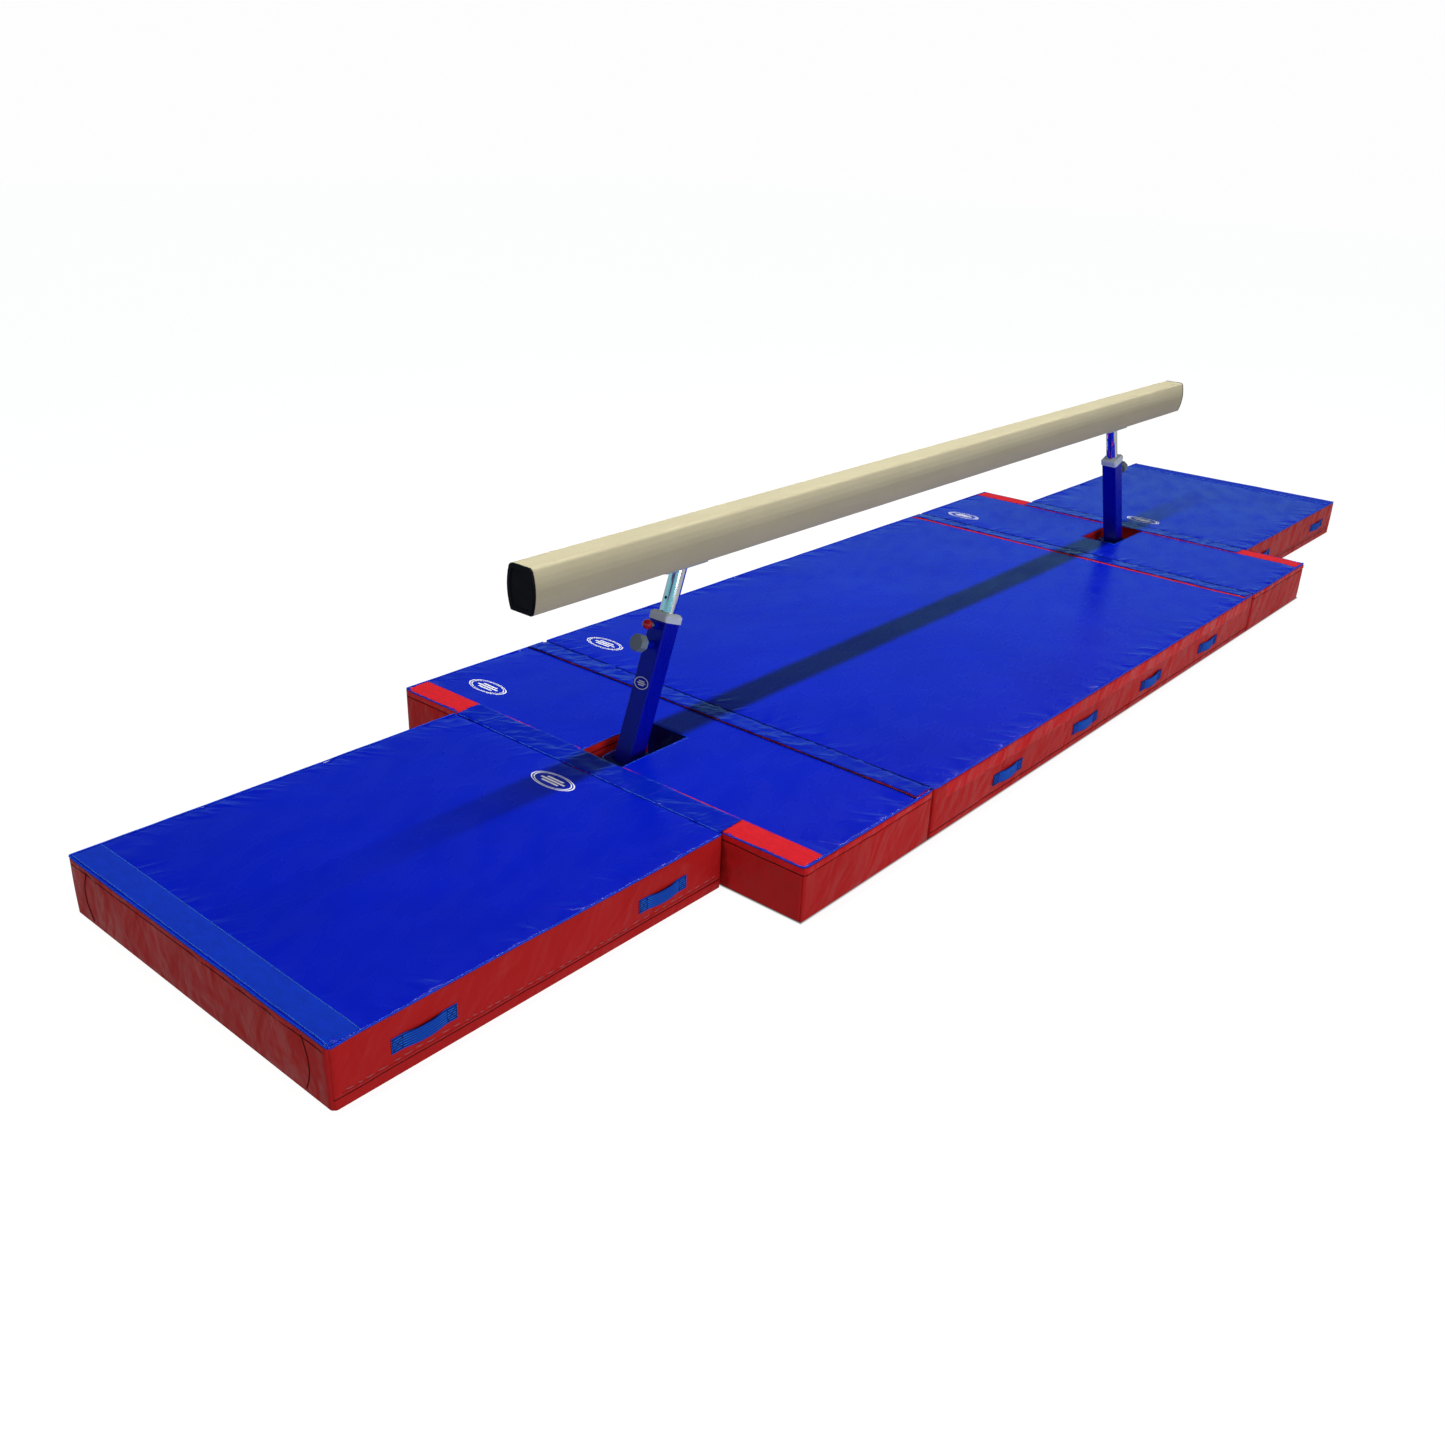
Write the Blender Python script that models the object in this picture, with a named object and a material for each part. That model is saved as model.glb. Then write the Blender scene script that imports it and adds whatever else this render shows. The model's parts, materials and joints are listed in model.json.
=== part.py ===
"""Gymnastics balance beam on two height-adjustable legs, standing in its set of landing mats.

Metres, +Z up. X runs along the beam, the origin is on the floor under the middle of the beam.
The "near" end is at -X and the "far" end at +X. Each end is built in a frame of its own whose
x points outward along the beam, so both ends come from the same functions.
"""

import math

import bmesh
import bpy
from mathutils import Matrix, Vector

GAP = 0.0003  # between pieces that touch
SLIDE_GAP = 0.0005  # between pieces that slide on each other
FINE_ROUND = 32  # points round the telescopic tubes
ROUND = 24  # points round the collar, the knob and the bolt heads
SMALL_ROUND = 16  # points round the small turned pieces
HOLE_SIDES = 12

# Beam
BEAM_LENGTH = 5.0  # over the end caps
BEAM_TOP = 1.0  # top of the beam above the floor, as stored
BEAM_DEPTH = 0.16
BEAM_EDGE_WIDTH = 0.10  # top and bottom, measured to the unrounded edges
BEAM_WAIST_WIDTH = 0.13  # at mid depth
BEAM_TOP_RADIUS = 0.014
BEAM_BOTTOM_RADIUS = 0.007
FILLET_STEPS = 4
SIDE_STEPS = 7
COVER_THICKNESS = 0.008  # padding and suede together
EXTRUSION_WALL = 0.004
CAP_FLANGE = 0.010
CAP_RIM = 0.016
CAP_RECESS = 0.003
CAP_ROUNDING = 0.004
CAP_SPIGOT = 0.035

# Bolted plate that carries each leg
LEG_TOP_X = 1.74  # where the leg's axis meets the beam's underside, from the middle
LEG_TILT = math.radians(20.5)  # from upright, the foot standing further out than the top
PLATE_LENGTH = 0.23
PLATE_WIDTH = 0.078
PLATE_THICKNESS = 0.008
PLATE_CORNER = 0.006
BOLT_REACH = 0.057  # bolt axis from the leg's axis, along the beam
BOLT_RADIUS = 0.006
BOLT_HEAD_HALF = 0.0095  # half the width across flats
BOLT_HEAD_HEIGHT = 0.008
BOLT_HOLE_RADIUS = 0.0068
WASHER_RADIUS = 0.0125
WASHER_THICKNESS = 0.0025
BACKING_LENGTH = 0.20
BACKING_WIDTH = 0.060
BACKING_THICKNESS = 0.008
BOLT_SPARE_LENGTH = 0.003  # bolt standing out of the backing plate

# Telescopic leg
INNER_RADIUS = 0.030
INNER_WALL = 0.003
INNER_LENGTH = 0.68  # along the axis, from the beam's underside
OUTER_HALF = 0.040
OUTER_WALL = 0.0035
OUTER_CORNER = 0.006
COLLAR_TOP = 0.67  # height above the floor where the collar's top meets the axis
COLLAR_WALL = 0.0052  # beside the outer tube
COLLAR_CORNER = 0.012
COLLAR_HEIGHT = 0.034
COLLAR_CHAMFER = 0.009
COLLAR_PLATE = 0.010  # above the end of the outer tube
COLLAR_SPIGOT = 0.022  # inside the outer tube
BUSH_LENGTH = 0.040
HEIGHT_STEP = 0.05  # beam height between index holes
STEPS_DOWN = 2
STEPS_UP = 5
INDEX_HOLE_RADIUS = 0.006

# Index plunger, below the collar
PLUNGER_DROP = 0.021  # below the collar's skirt, along the axis
PLUNGER_BOSS_RADIUS = 0.014
PLUNGER_BOSS_LENGTH = 0.020
PLUNGER_PIN_RADIUS = 0.005
PLUNGER_TIP_CLEARANCE = 0.0006  # in front of the inner tube
FERRULE_RADIUS = 0.009
FERRULE_LENGTH = 0.013
BALL_RADIUS = 0.0185
BALL_FLAT_RADIUS = 0.007

# Clamp screw, below the plunger
CLAMP_DROP = 0.092  # below the collar's skirt, along the axis
CLAMP_BOSS_RADIUS = 0.016
CLAMP_BOSS_LENGTH = 0.035
SCREW_RADIUS = 0.008
PAD_RADIUS = 0.0075
PAD_THICKNESS = 0.0045
KNOB_STANDOFF = 0.052  # back of the knob's head from the tube
KNOB_HALF = 0.031  # half the width across flats
KNOB_DEPTH = 0.035
KNOB_EDGE = 0.003
KNOB_HUB_RADIUS = 0.015
KNOB_HUB_LENGTH = 0.008
KNOB_BORE_DEPTH = 0.020

# Foot
FOOT_LENGTH = 1.20
FOOT_WIDTH = 0.12
FOOT_HEIGHT = 0.060
FOOT_WALL = 0.004
FOOT_CORNER = 0.006
FOOT_CAP_FLANGE = 0.004
FOOT_CAP_SPIGOT = 0.020
RUBBER_THICKNESS = 0.012
RUBBER_LENGTH = 0.10
RUBBER_WIDTH = 0.10
RUBBER_EDGE_MARGIN = 0.03  # from the end of the foot bar
SOCKET_WALL = 0.0127  # padded sleeve round the outer tube
SOCKET_TOP = 0.14  # above the floor
SOCKET_CORNER = 0.008

# Mats
MAT_THICKNESS = 0.20
MAT_EDGE = 0.012
MAT_SPACE = 0.004  # between neighbouring mats
MIDDLE_MAT_LENGTH = 3.0
LEG_MAT_LENGTH = 0.75
END_MAT_LENGTH = 1.5
WIDE_MAT_WIDTH = 2.0
END_MAT_WIDTH = 1.35
SLOT_INNER_X = 1.79
SLOT_WIDTH = 0.20
RECESS_INNER_X = 1.90
RECESS_SIDE_CLEARANCE = 0.03  # beyond each end of the foot bar
RECESS_TOP_CLEARANCE = 0.013  # above the foot bar

# Joining flaps, sewn to one mat and lying on the next
FLAP_THICKNESS = 0.0024
SEAM_INSET = 0.007  # seam from the edge of its own mat
FLAP_SIDE_MARGIN = 0.012
END_FLAP_REACH = 0.115  # seam to free edge
MIDDLE_FLAP_REACH = 0.102
LEG_FLAP_REACH = 0.100

# Worked out from the values above
BEAM_BOTTOM = BEAM_TOP - BEAM_DEPTH
PLATE_BOTTOM = BEAM_BOTTOM - GAP - PLATE_THICKNESS
CAP_BACK_X = BEAM_LENGTH / 2 - CAP_FLANGE
EXTRUSION_INSET = COVER_THICKNESS + GAP
CAVITY_INSET = EXTRUSION_INSET + EXTRUSION_WALL
BACKING_BOTTOM = BEAM_BOTTOM + CAVITY_INSET + GAP
TAN_TILT = math.tan(LEG_TILT)
COLLAR_HALF = OUTER_HALF + GAP + COLLAR_WALL
SOCKET_HALF = OUTER_HALF + GAP + SOCKET_WALL
COLLAR_TOP_S = (COLLAR_TOP - BEAM_BOTTOM) / math.cos(LEG_TILT)
SKIRT_S = COLLAR_TOP_S - COLLAR_HEIGHT
PLUNGER_S = SKIRT_S - PLUNGER_DROP
CLAMP_S = SKIRT_S - CLAMP_DROP
FOOT_BOTTOM = RUBBER_THICKNESS + GAP
FOOT_TOP = FOOT_BOTTOM + FOOT_HEIGHT
FOOT_X = LEG_TOP_X + (BEAM_BOTTOM - FOOT_TOP) * TAN_TILT
LEG_MAT_INNER_X = MIDDLE_MAT_LENGTH / 2 + MAT_SPACE / 2
LEG_MAT_OUTER_X = MIDDLE_MAT_LENGTH / 2 + LEG_MAT_LENGTH - MAT_SPACE / 2
END_MAT_INNER_X = LEG_MAT_OUTER_X + MAT_SPACE
END_MAT_OUTER_X = END_MAT_INNER_X + END_MAT_LENGTH - MAT_SPACE / 2
FLAP_BOTTOM = MAT_THICKNESS + GAP

MATERIALS = {
    # name: (colour, roughness, metallic)
    "suede": ((0.52, 0.46, 0.31), 0.85, 0.0),
    "bare_aluminium": ((0.70, 0.71, 0.72), 0.4, 1.0),
    "black_plastic": ((0.012, 0.014, 0.018), 0.4, 0.0),
    "galvanised_steel": ((0.60, 0.60, 0.58), 0.45, 1.0),
    "zinc_plated_steel": ((0.55, 0.56, 0.58), 0.35, 1.0),
    "chrome": ((0.85, 0.86, 0.88), 0.08, 1.0),
    "blue_paint": ((0.0, 0.01, 0.28), 0.35, 0.0),
    "grey_plastic": ((0.42, 0.50, 0.55), 0.45, 0.0),
    "knob_plastic": ((0.22, 0.27, 0.30), 0.5, 0.0),
    "red_plastic": ((0.50, 0.01, 0.015), 0.2, 0.0),
    "white_nylon": ((0.75, 0.75, 0.72), 0.5, 0.0),
    "black_rubber": ((0.02, 0.02, 0.02), 0.8, 0.0),
    "mat_vinyl": ((0.0, 0.02, 0.42), 0.4, 0.0),
    "flap_vinyl": ((0.0, 0.03, 0.40), 0.45, 0.0),
}


# ---- scene helpers ----


def clear_scene():
    for item in list(bpy.data.objects):
        bpy.data.objects.remove(item)


def material(name):
    found = bpy.data.materials.get(name)
    if found:
        return found
    colour, roughness, metallic = MATERIALS[name]
    made = bpy.data.materials.new(name)
    made.use_nodes = True
    shader = made.node_tree.nodes["Principled BSDF"]
    shader.inputs["Base Color"].default_value = (*colour, 1.0)
    shader.inputs["Roughness"].default_value = roughness
    shader.inputs["Metallic"].default_value = metallic
    return made


def frame_empty(name, matrix, parent=None):
    empty = bpy.data.objects.new(name, None)
    bpy.context.scene.collection.objects.link(empty)
    empty.parent = parent
    empty.matrix_local = matrix
    return empty


def add_solid(name, bm, finish, parent=None, location=(0, 0, 0)):
    bmesh.ops.recalc_face_normals(bm, faces=bm.faces)
    mesh = bpy.data.meshes.new(name)
    bm.to_mesh(mesh)
    bm.free()
    mesh.shade_smooth()
    mesh.set_sharp_from_angle(angle=math.radians(35))
    mesh.materials.append(material(finish))
    solid = bpy.data.objects.new(name, mesh)
    bpy.context.scene.collection.objects.link(solid)
    solid.parent = parent
    solid.location = location
    return solid


def add_cutter(name, bm, parent=None, location=(0, 0, 0)):
    cutter = add_solid(name, bm, "galvanised_steel", parent, location)
    cutter.hide_render = True
    cutter.display_type = "WIRE"
    return cutter


def cut(solid, cutter):
    modifier = solid.modifiers.new("cut", "BOOLEAN")
    modifier.operation = "DIFFERENCE"
    modifier.solver = "EXACT"
    modifier.object = cutter


# ---- outlines: lists of (u, v) points, counter-clockwise ----


def circle(radius, count=ROUND):
    angles = [(i + 0.5) * math.tau / count for i in range(count)]
    return [(radius * math.cos(a), radius * math.sin(a)) for a in angles]


def rounded_rectangle(half_u, half_v, radius, count=ROUND):
    per_corner = count // 4
    points = []
    for quarter in range(4):
        sign_u = 1 if quarter in (0, 3) else -1
        sign_v = 1 if quarter in (0, 1) else -1
        centre_u = sign_u * (half_u - radius)
        centre_v = sign_v * (half_v - radius)
        for i in range(per_corner):
            a = (quarter + i / (per_corner - 1)) * math.pi / 2
            points.append((centre_u + radius * math.cos(a), centre_v + radius * math.sin(a)))
    return points


def square(half, radius, count=ROUND):
    return rounded_rectangle(half, half, radius, count)


def polygon(sides, half_width, count):
    # A regular polygon with a flat at angle 0, sampled at the same angles as circle().
    step = math.tau / sides
    points = []
    for i in range(count):
        a = (i + 0.5) * math.tau / count
        off_flat = (a + step / 2) % step - step / 2
        reach = half_width / math.cos(off_flat)
        points.append((reach * math.cos(a), reach * math.sin(a)))
    return points


def beam_outline(inset):
    # The beam's section about its mid depth, moved in by inset: flat top and bottom, bowed sides.
    half_depth = BEAM_DEPTH / 2
    bow = (BEAM_WAIST_WIDTH - BEAM_EDGE_WIDTH) / 2
    side_radius = (half_depth**2 + bow**2) / (2 * bow)
    side_u = BEAM_WAIST_WIDTH / 2 - side_radius
    smallest = 0.002

    def fillet(edge_radius):
        radius = max(edge_radius - inset, smallest)
        v = half_depth - inset - radius
        u = side_u + math.sqrt((side_radius - inset - radius) ** 2 - v**2)
        return radius, u, v, math.atan2(v, u - side_u)

    top_radius, top_u, top_v, top_angle = fillet(BEAM_TOP_RADIUS)
    low_radius, low_u, low_v, low_angle = fillet(BEAM_BOTTOM_RADIUS)
    right = []
    for i in range(FILLET_STEPS + 1):
        a = math.pi / 2 + (top_angle - math.pi / 2) * i / FILLET_STEPS
        right.append((top_u + top_radius * math.cos(a), top_v + top_radius * math.sin(a)))
    for i in range(1, SIDE_STEPS):
        a = top_angle - (top_angle + low_angle) * i / SIDE_STEPS
        reach = side_radius - inset
        right.append((side_u + reach * math.cos(a), reach * math.sin(a)))
    for i in range(FILLET_STEPS + 1):
        a = -low_angle + (low_angle - math.pi / 2) * i / FILLET_STEPS
        right.append((low_u + low_radius * math.cos(a), -low_v + low_radius * math.sin(a)))
    left = [(-u, v) for u, v in reversed(right)]
    return list(reversed(right + left))


# ---- loops in space ----


def loop_z(outline, z):
    return [Vector((u, v, z)) for u, v in outline]


def loop_x(outline, x, z=0.0):
    return [Vector((x, u, z + v)) for u, v in outline]


def loop_y(outline, y, x=0.0, z=0.0):
    return [Vector((x + u, y, z + v)) for u, v in outline]


def loop_level(outline, height):
    # Across the tilted leg at one height above the floor.
    sine, cosine = math.sin(LEG_TILT), math.cos(LEG_TILT)
    return [Vector((u, v, (height - BEAM_BOTTOM - u * sine) / cosine)) for u, v in outline]


def loft(loops, ring=False):
    # A closed solid through loops of equal length; a ring joins the last loop to the first.
    bm = bmesh.new()
    rows = [[bm.verts.new(point) for point in loop] for loop in loops]
    pairs = list(zip(rows, rows[1:]))
    if ring:
        pairs.append((rows[-1], rows[0]))
    for first, second in pairs:
        count = len(first)
        for i in range(count):
            j = (i + 1) % count
            bm.faces.new((first[i], first[j], second[j], second[i]))
    if not ring:
        bm.faces.new(rows[0])
        bm.faces.new(rows[-1])
    return bm


def block(size, centre, edge=0.0, steps=1):
    bm = bmesh.new()
    bmesh.ops.create_cube(bm, size=1.0)
    bmesh.ops.scale(bm, vec=size, verts=bm.verts)
    if edge:
        bmesh.ops.bevel(bm, geom=list(bm.edges), offset=edge, segments=steps, affect="EDGES")
    bmesh.ops.translate(bm, vec=centre, verts=bm.verts)
    return bm


def add_shell(bm, loops):
    # Adds a further closed shell to bm, for cutters with several cylinders or blocks.
    extra = loft(loops)
    offset = len(bm.verts)
    for vert in extra.verts:
        bm.verts.new(vert.co)
    bm.verts.ensure_lookup_table()
    extra.verts.index_update()
    for face in extra.faces:
        bm.faces.new([bm.verts[offset + vert.index] for vert in face.verts])
    extra.free()


# ---- beam ----


def build_beam():
    mid = BEAM_BOTTOM + BEAM_DEPTH / 2
    reach = CAP_BACK_X - GAP
    outer = beam_outline(0)
    inner = beam_outline(COVER_THICKNESS)
    rings = [
        loop_x(outer, -reach, mid),
        loop_x(outer, reach, mid),
        loop_x(inner, reach, mid),
        loop_x(inner, -reach, mid),
    ]
    cover = add_solid("beam_cover", loft(rings, ring=True), "suede")
    outer = beam_outline(EXTRUSION_INSET)
    inner = beam_outline(CAVITY_INSET)
    rings = [
        loop_x(outer, -reach, mid),
        loop_x(outer, reach, mid),
        loop_x(inner, reach, mid),
        loop_x(inner, -reach, mid),
    ]
    extrusion = add_solid("beam_extrusion", loft(rings, ring=True), "bare_aluminium")
    holes = bmesh.new()
    for side in (-1, 1):
        for along in (-BOLT_REACH, BOLT_REACH):
            x = side * LEG_TOP_X + along
            ends = []
            for z in (PLATE_BOTTOM - 0.02, BACKING_BOTTOM + BACKING_THICKNESS + 0.02):
                points = circle(BOLT_HOLE_RADIUS, HOLE_SIDES)
                ends.append([Vector((x + u, v, z)) for u, v in points])
            add_shell(holes, ends)
    cutter = add_cutter("bolt_hole_cutter", holes)
    cut(cover, cutter)
    cut(extrusion, cutter)
    return cutter


def build_cap(end):
    tip = BEAM_LENGTH / 2
    mid = BEAM_BOTTOM + BEAM_DEPTH / 2
    spigot_inset = CAVITY_INSET + GAP
    sections = [
        (tip - CAP_RECESS, CAP_RIM + CAP_RECESS),
        (tip - CAP_RECESS * 0.3, CAP_RIM + CAP_RECESS * 0.3),
        (tip, CAP_RIM),
        (tip, CAP_ROUNDING),
        (tip - CAP_ROUNDING * 0.3, CAP_ROUNDING * 0.3),
        (tip - CAP_ROUNDING, 0.0),
        (CAP_BACK_X, 0.0),
        (CAP_BACK_X, spigot_inset),
        (CAP_BACK_X - CAP_SPIGOT, spigot_inset),
    ]
    loops = [loop_x(beam_outline(inset), x, mid) for x, inset in sections]
    add_solid(end.label + "_end_cap", loft(loops), "black_plastic", end.upright)


def build_plate(end, cutter):
    plate = block(
        (PLATE_LENGTH, PLATE_WIDTH, PLATE_THICKNESS),
        (LEG_TOP_X, 0, PLATE_BOTTOM + PLATE_THICKNESS / 2),
    )
    corners = [edge for edge in plate.edges if is_upright(edge)]
    bmesh.ops.bevel(plate, geom=corners, offset=PLATE_CORNER, segments=3, affect="EDGES")
    cut(add_solid(end.label + "_mount_plate", plate, "galvanised_steel", end.upright), cutter)
    backing = block(
        (BACKING_LENGTH, BACKING_WIDTH, BACKING_THICKNESS),
        (LEG_TOP_X, 0, BACKING_BOTTOM + BACKING_THICKNESS / 2),
    )
    cut(add_solid(end.label + "_backing_plate", backing, "zinc_plated_steel", end.upright), cutter)


def is_upright(edge):
    first, second = (vert.co for vert in edge.verts)
    return abs(first.z - second.z) > (first - second).length * 0.9


def build_bolt(end, label, along):
    washer_top = PLATE_BOTTOM - GAP
    head_top = washer_top - WASHER_THICKNESS - GAP
    place = (LEG_TOP_X + along, 0, 0)
    ring = [
        loop_z(circle(WASHER_RADIUS, SMALL_ROUND), washer_top),
        loop_z(circle(WASHER_RADIUS, SMALL_ROUND), washer_top - WASHER_THICKNESS),
        loop_z(circle(BOLT_HOLE_RADIUS, SMALL_ROUND), washer_top - WASHER_THICKNESS),
        loop_z(circle(BOLT_HOLE_RADIUS, SMALL_ROUND), washer_top),
    ]
    name = f"{end.label}_{label}_washer"
    add_solid(name, loft(ring, ring=True), "zinc_plated_steel", end.upright, place)
    chamfer = BOLT_HEAD_HEIGHT * 0.15
    hexagon = polygon(6, BOLT_HEAD_HALF, ROUND)
    shank = circle(BOLT_RADIUS, ROUND)
    tip = BACKING_BOTTOM + BACKING_THICKNESS + BOLT_SPARE_LENGTH
    loops = [
        loop_z(circle(BOLT_HEAD_HALF * 0.9, ROUND), head_top - BOLT_HEAD_HEIGHT),
        loop_z(hexagon, head_top - BOLT_HEAD_HEIGHT + chamfer),
        loop_z(hexagon, head_top),
        loop_z(shank, head_top),
        loop_z(shank, tip),
    ]
    name = f"{end.label}_{label}_bolt"
    add_solid(name, loft(loops), "zinc_plated_steel", end.upright, place)


# ---- telescopic leg ----


def build_inner_tube(end):
    outer = circle(INNER_RADIUS, FINE_ROUND)
    inner = circle(INNER_RADIUS - INNER_WALL, FINE_ROUND)
    top = PLATE_BOTTOM - GAP
    rings = [
        loop_level(outer, top),
        loop_z(outer, -INNER_LENGTH),
        loop_z(inner, -INNER_LENGTH),
        loop_level(inner, top),
    ]
    tube = add_solid(end.label + "_inner_tube", loft(rings, ring=True), "chrome", end.leg)
    holes = bmesh.new()
    for step in range(-STEPS_UP, STEPS_DOWN + 1):
        s = PLUNGER_S + step * HEIGHT_STEP / math.cos(LEG_TILT)
        hole = circle(INDEX_HOLE_RADIUS, HOLE_SIDES)
        add_shell(holes, [loop_x(hole, INNER_RADIUS / 2, s), loop_x(hole, OUTER_HALF, s)])
    cut(tube, add_cutter(end.label + "_index_hole_cutter", holes, end.leg))


def build_guide_bush(end):
    half = OUTER_HALF - OUTER_WALL - SLIDE_GAP
    outer = square(half, OUTER_CORNER, FINE_ROUND)
    bore = circle(INNER_RADIUS + GAP, FINE_ROUND)
    low = -INNER_LENGTH
    rings = [
        loop_z(outer, low),
        loop_z(outer, low + BUSH_LENGTH),
        loop_z(bore, low + BUSH_LENGTH),
        loop_z(bore, low),
    ]
    add_solid(end.label + "_guide_bush", loft(rings, ring=True), "white_nylon", end.leg)


def build_outer_tube(end):
    outer = square(OUTER_HALF, OUTER_CORNER, SMALL_ROUND)
    inner = square(OUTER_HALF - OUTER_WALL, OUTER_CORNER - OUTER_WALL, SMALL_ROUND)
    top = COLLAR_TOP_S - COLLAR_PLATE - GAP
    low = FOOT_TOP + GAP
    rings = [
        loop_level(outer, low),
        loop_z(outer, top),
        loop_z(inner, top),
        loop_level(inner, low),
    ]
    tube = add_solid(end.label + "_outer_tube", loft(rings, ring=True), "blue_paint", end.leg)
    holes = bmesh.new()
    inside = OUTER_HALF - 2 * OUTER_WALL
    outside = OUTER_HALF + OUTER_WALL
    for radius, s in ((PLUNGER_PIN_RADIUS, PLUNGER_S), (SCREW_RADIUS, CLAMP_S)):
        hole = circle(radius + 2 * SLIDE_GAP, ROUND)
        add_shell(holes, [loop_x(hole, inside, s), loop_x(hole, outside, s)])
    cut(tube, add_cutter(end.label + "_side_hole_cutter", holes, end.leg))


def build_collar(end):
    body = square(COLLAR_HALF, COLLAR_CORNER)
    shoulder = square(COLLAR_HALF - COLLAR_CHAMFER * 0.8, COLLAR_CORNER)
    bore = circle(INNER_RADIUS + SLIDE_GAP)
    spigot = square(OUTER_HALF - OUTER_WALL - GAP, OUTER_CORNER - OUTER_WALL)
    inside = square(OUTER_HALF + GAP, OUTER_CORNER)
    under = COLLAR_TOP_S - COLLAR_PLATE
    rings = [
        loop_z(body, SKIRT_S),
        loop_z(body, COLLAR_TOP_S - COLLAR_CHAMFER),
        loop_z(shoulder, COLLAR_TOP_S),
        loop_z(bore, COLLAR_TOP_S),
        loop_z(bore, under - COLLAR_SPIGOT),
        loop_z(spigot, under - COLLAR_SPIGOT),
        loop_z(spigot, under),
        loop_z(inside, under),
        loop_z(inside, SKIRT_S),
    ]
    add_solid(end.label + "_collar", loft(rings, ring=True), "grey_plastic", end.leg)


def build_boss(end, name, radius, length, bore_radius, s):
    outer = circle(radius, SMALL_ROUND)
    bore = circle(bore_radius, SMALL_ROUND)
    near = OUTER_HALF + GAP
    rings = [
        loop_x(outer, near),
        loop_x(outer, near + length),
        loop_x(bore, near + length),
        loop_x(bore, near),
    ]
    add_solid(f"{end.label}_{name}", loft(rings, ring=True), "blue_paint", end.leg, (0, 0, s))


def build_plunger(end):
    bore = PLUNGER_PIN_RADIUS + SLIDE_GAP
    build_boss(end, "plunger_boss", PLUNGER_BOSS_RADIUS, PLUNGER_BOSS_LENGTH, bore, PLUNGER_S)
    place = (0, 0, PLUNGER_S)
    pin = circle(PLUNGER_PIN_RADIUS, SMALL_ROUND)
    ferrule = circle(FERRULE_RADIUS, SMALL_ROUND)
    tip = INNER_RADIUS + PLUNGER_TIP_CLEARANCE
    neck = OUTER_HALF + GAP + PLUNGER_BOSS_LENGTH + GAP
    end_x = neck + FERRULE_LENGTH
    loops = [
        loop_x(circle(PLUNGER_PIN_RADIUS * 0.6, SMALL_ROUND), tip),
        loop_x(pin, tip + PLUNGER_PIN_RADIUS * 0.4),
        loop_x(pin, neck),
        loop_x(ferrule, neck),
        loop_x(ferrule, end_x - FERRULE_RADIUS * 0.2),
        loop_x(circle(FERRULE_RADIUS * 0.8, SMALL_ROUND), end_x),
    ]
    add_solid(end.label + "_plunger_pin", loft(loops), "zinc_plated_steel", end.leg, place)
    start = math.asin(BALL_FLAT_RADIUS / BALL_RADIUS)
    centre_x = end_x + GAP + BALL_RADIUS * math.cos(start)
    loops = []
    steps = 12
    for i in range(steps):
        a = start + (math.pi - start) * i / steps
        x = centre_x - BALL_RADIUS * math.cos(a)
        loops.append(loop_x(circle(BALL_RADIUS * math.sin(a), SMALL_ROUND), x))
    add_solid(end.label + "_plunger_ball", loft(loops), "red_plastic", end.leg, place)


def build_clamp(end):
    bore = SCREW_RADIUS + SLIDE_GAP
    build_boss(end, "clamp_boss", CLAMP_BOSS_RADIUS, CLAMP_BOSS_LENGTH, bore, CLAMP_S)
    place = (0, 0, CLAMP_S)
    pad_x = INNER_RADIUS + GAP
    screw_x = pad_x + PAD_THICKNESS + GAP
    pad = [
        loop_x(circle(PAD_RADIUS, SMALL_ROUND), pad_x),
        loop_x(circle(PAD_RADIUS, SMALL_ROUND), pad_x + PAD_THICKNESS),
    ]
    add_solid(end.label + "_clamp_pad", loft(pad), "white_nylon", end.leg, place)
    back = OUTER_HALF + KNOB_STANDOFF
    hub_back = back - KNOB_HUB_LENGTH
    bottom = hub_back + KNOB_BORE_DEPTH
    screw = [
        loop_x(circle(SCREW_RADIUS, SMALL_ROUND), screw_x),
        loop_x(circle(SCREW_RADIUS, SMALL_ROUND), bottom - GAP),
    ]
    add_solid(end.label + "_clamp_screw", loft(screw), "zinc_plated_steel", end.leg, place)
    octagon = polygon(8, KNOB_HALF, ROUND)
    eased = polygon(8, KNOB_HALF - KNOB_EDGE, ROUND)
    hub = circle(KNOB_HUB_RADIUS)
    socket = circle(SCREW_RADIUS + GAP)
    front = back + KNOB_DEPTH
    loops = [
        loop_x(socket, bottom),
        loop_x(socket, hub_back),
        loop_x(hub, hub_back),
        loop_x(hub, back),
        loop_x(eased, back),
        loop_x(octagon, back + KNOB_EDGE),
        loop_x(octagon, front - KNOB_EDGE),
        loop_x(eased, front),
    ]
    add_solid(end.label + "_clamp_knob", loft(loops), "knob_plastic", end.leg, place)


# ---- foot ----


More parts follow.
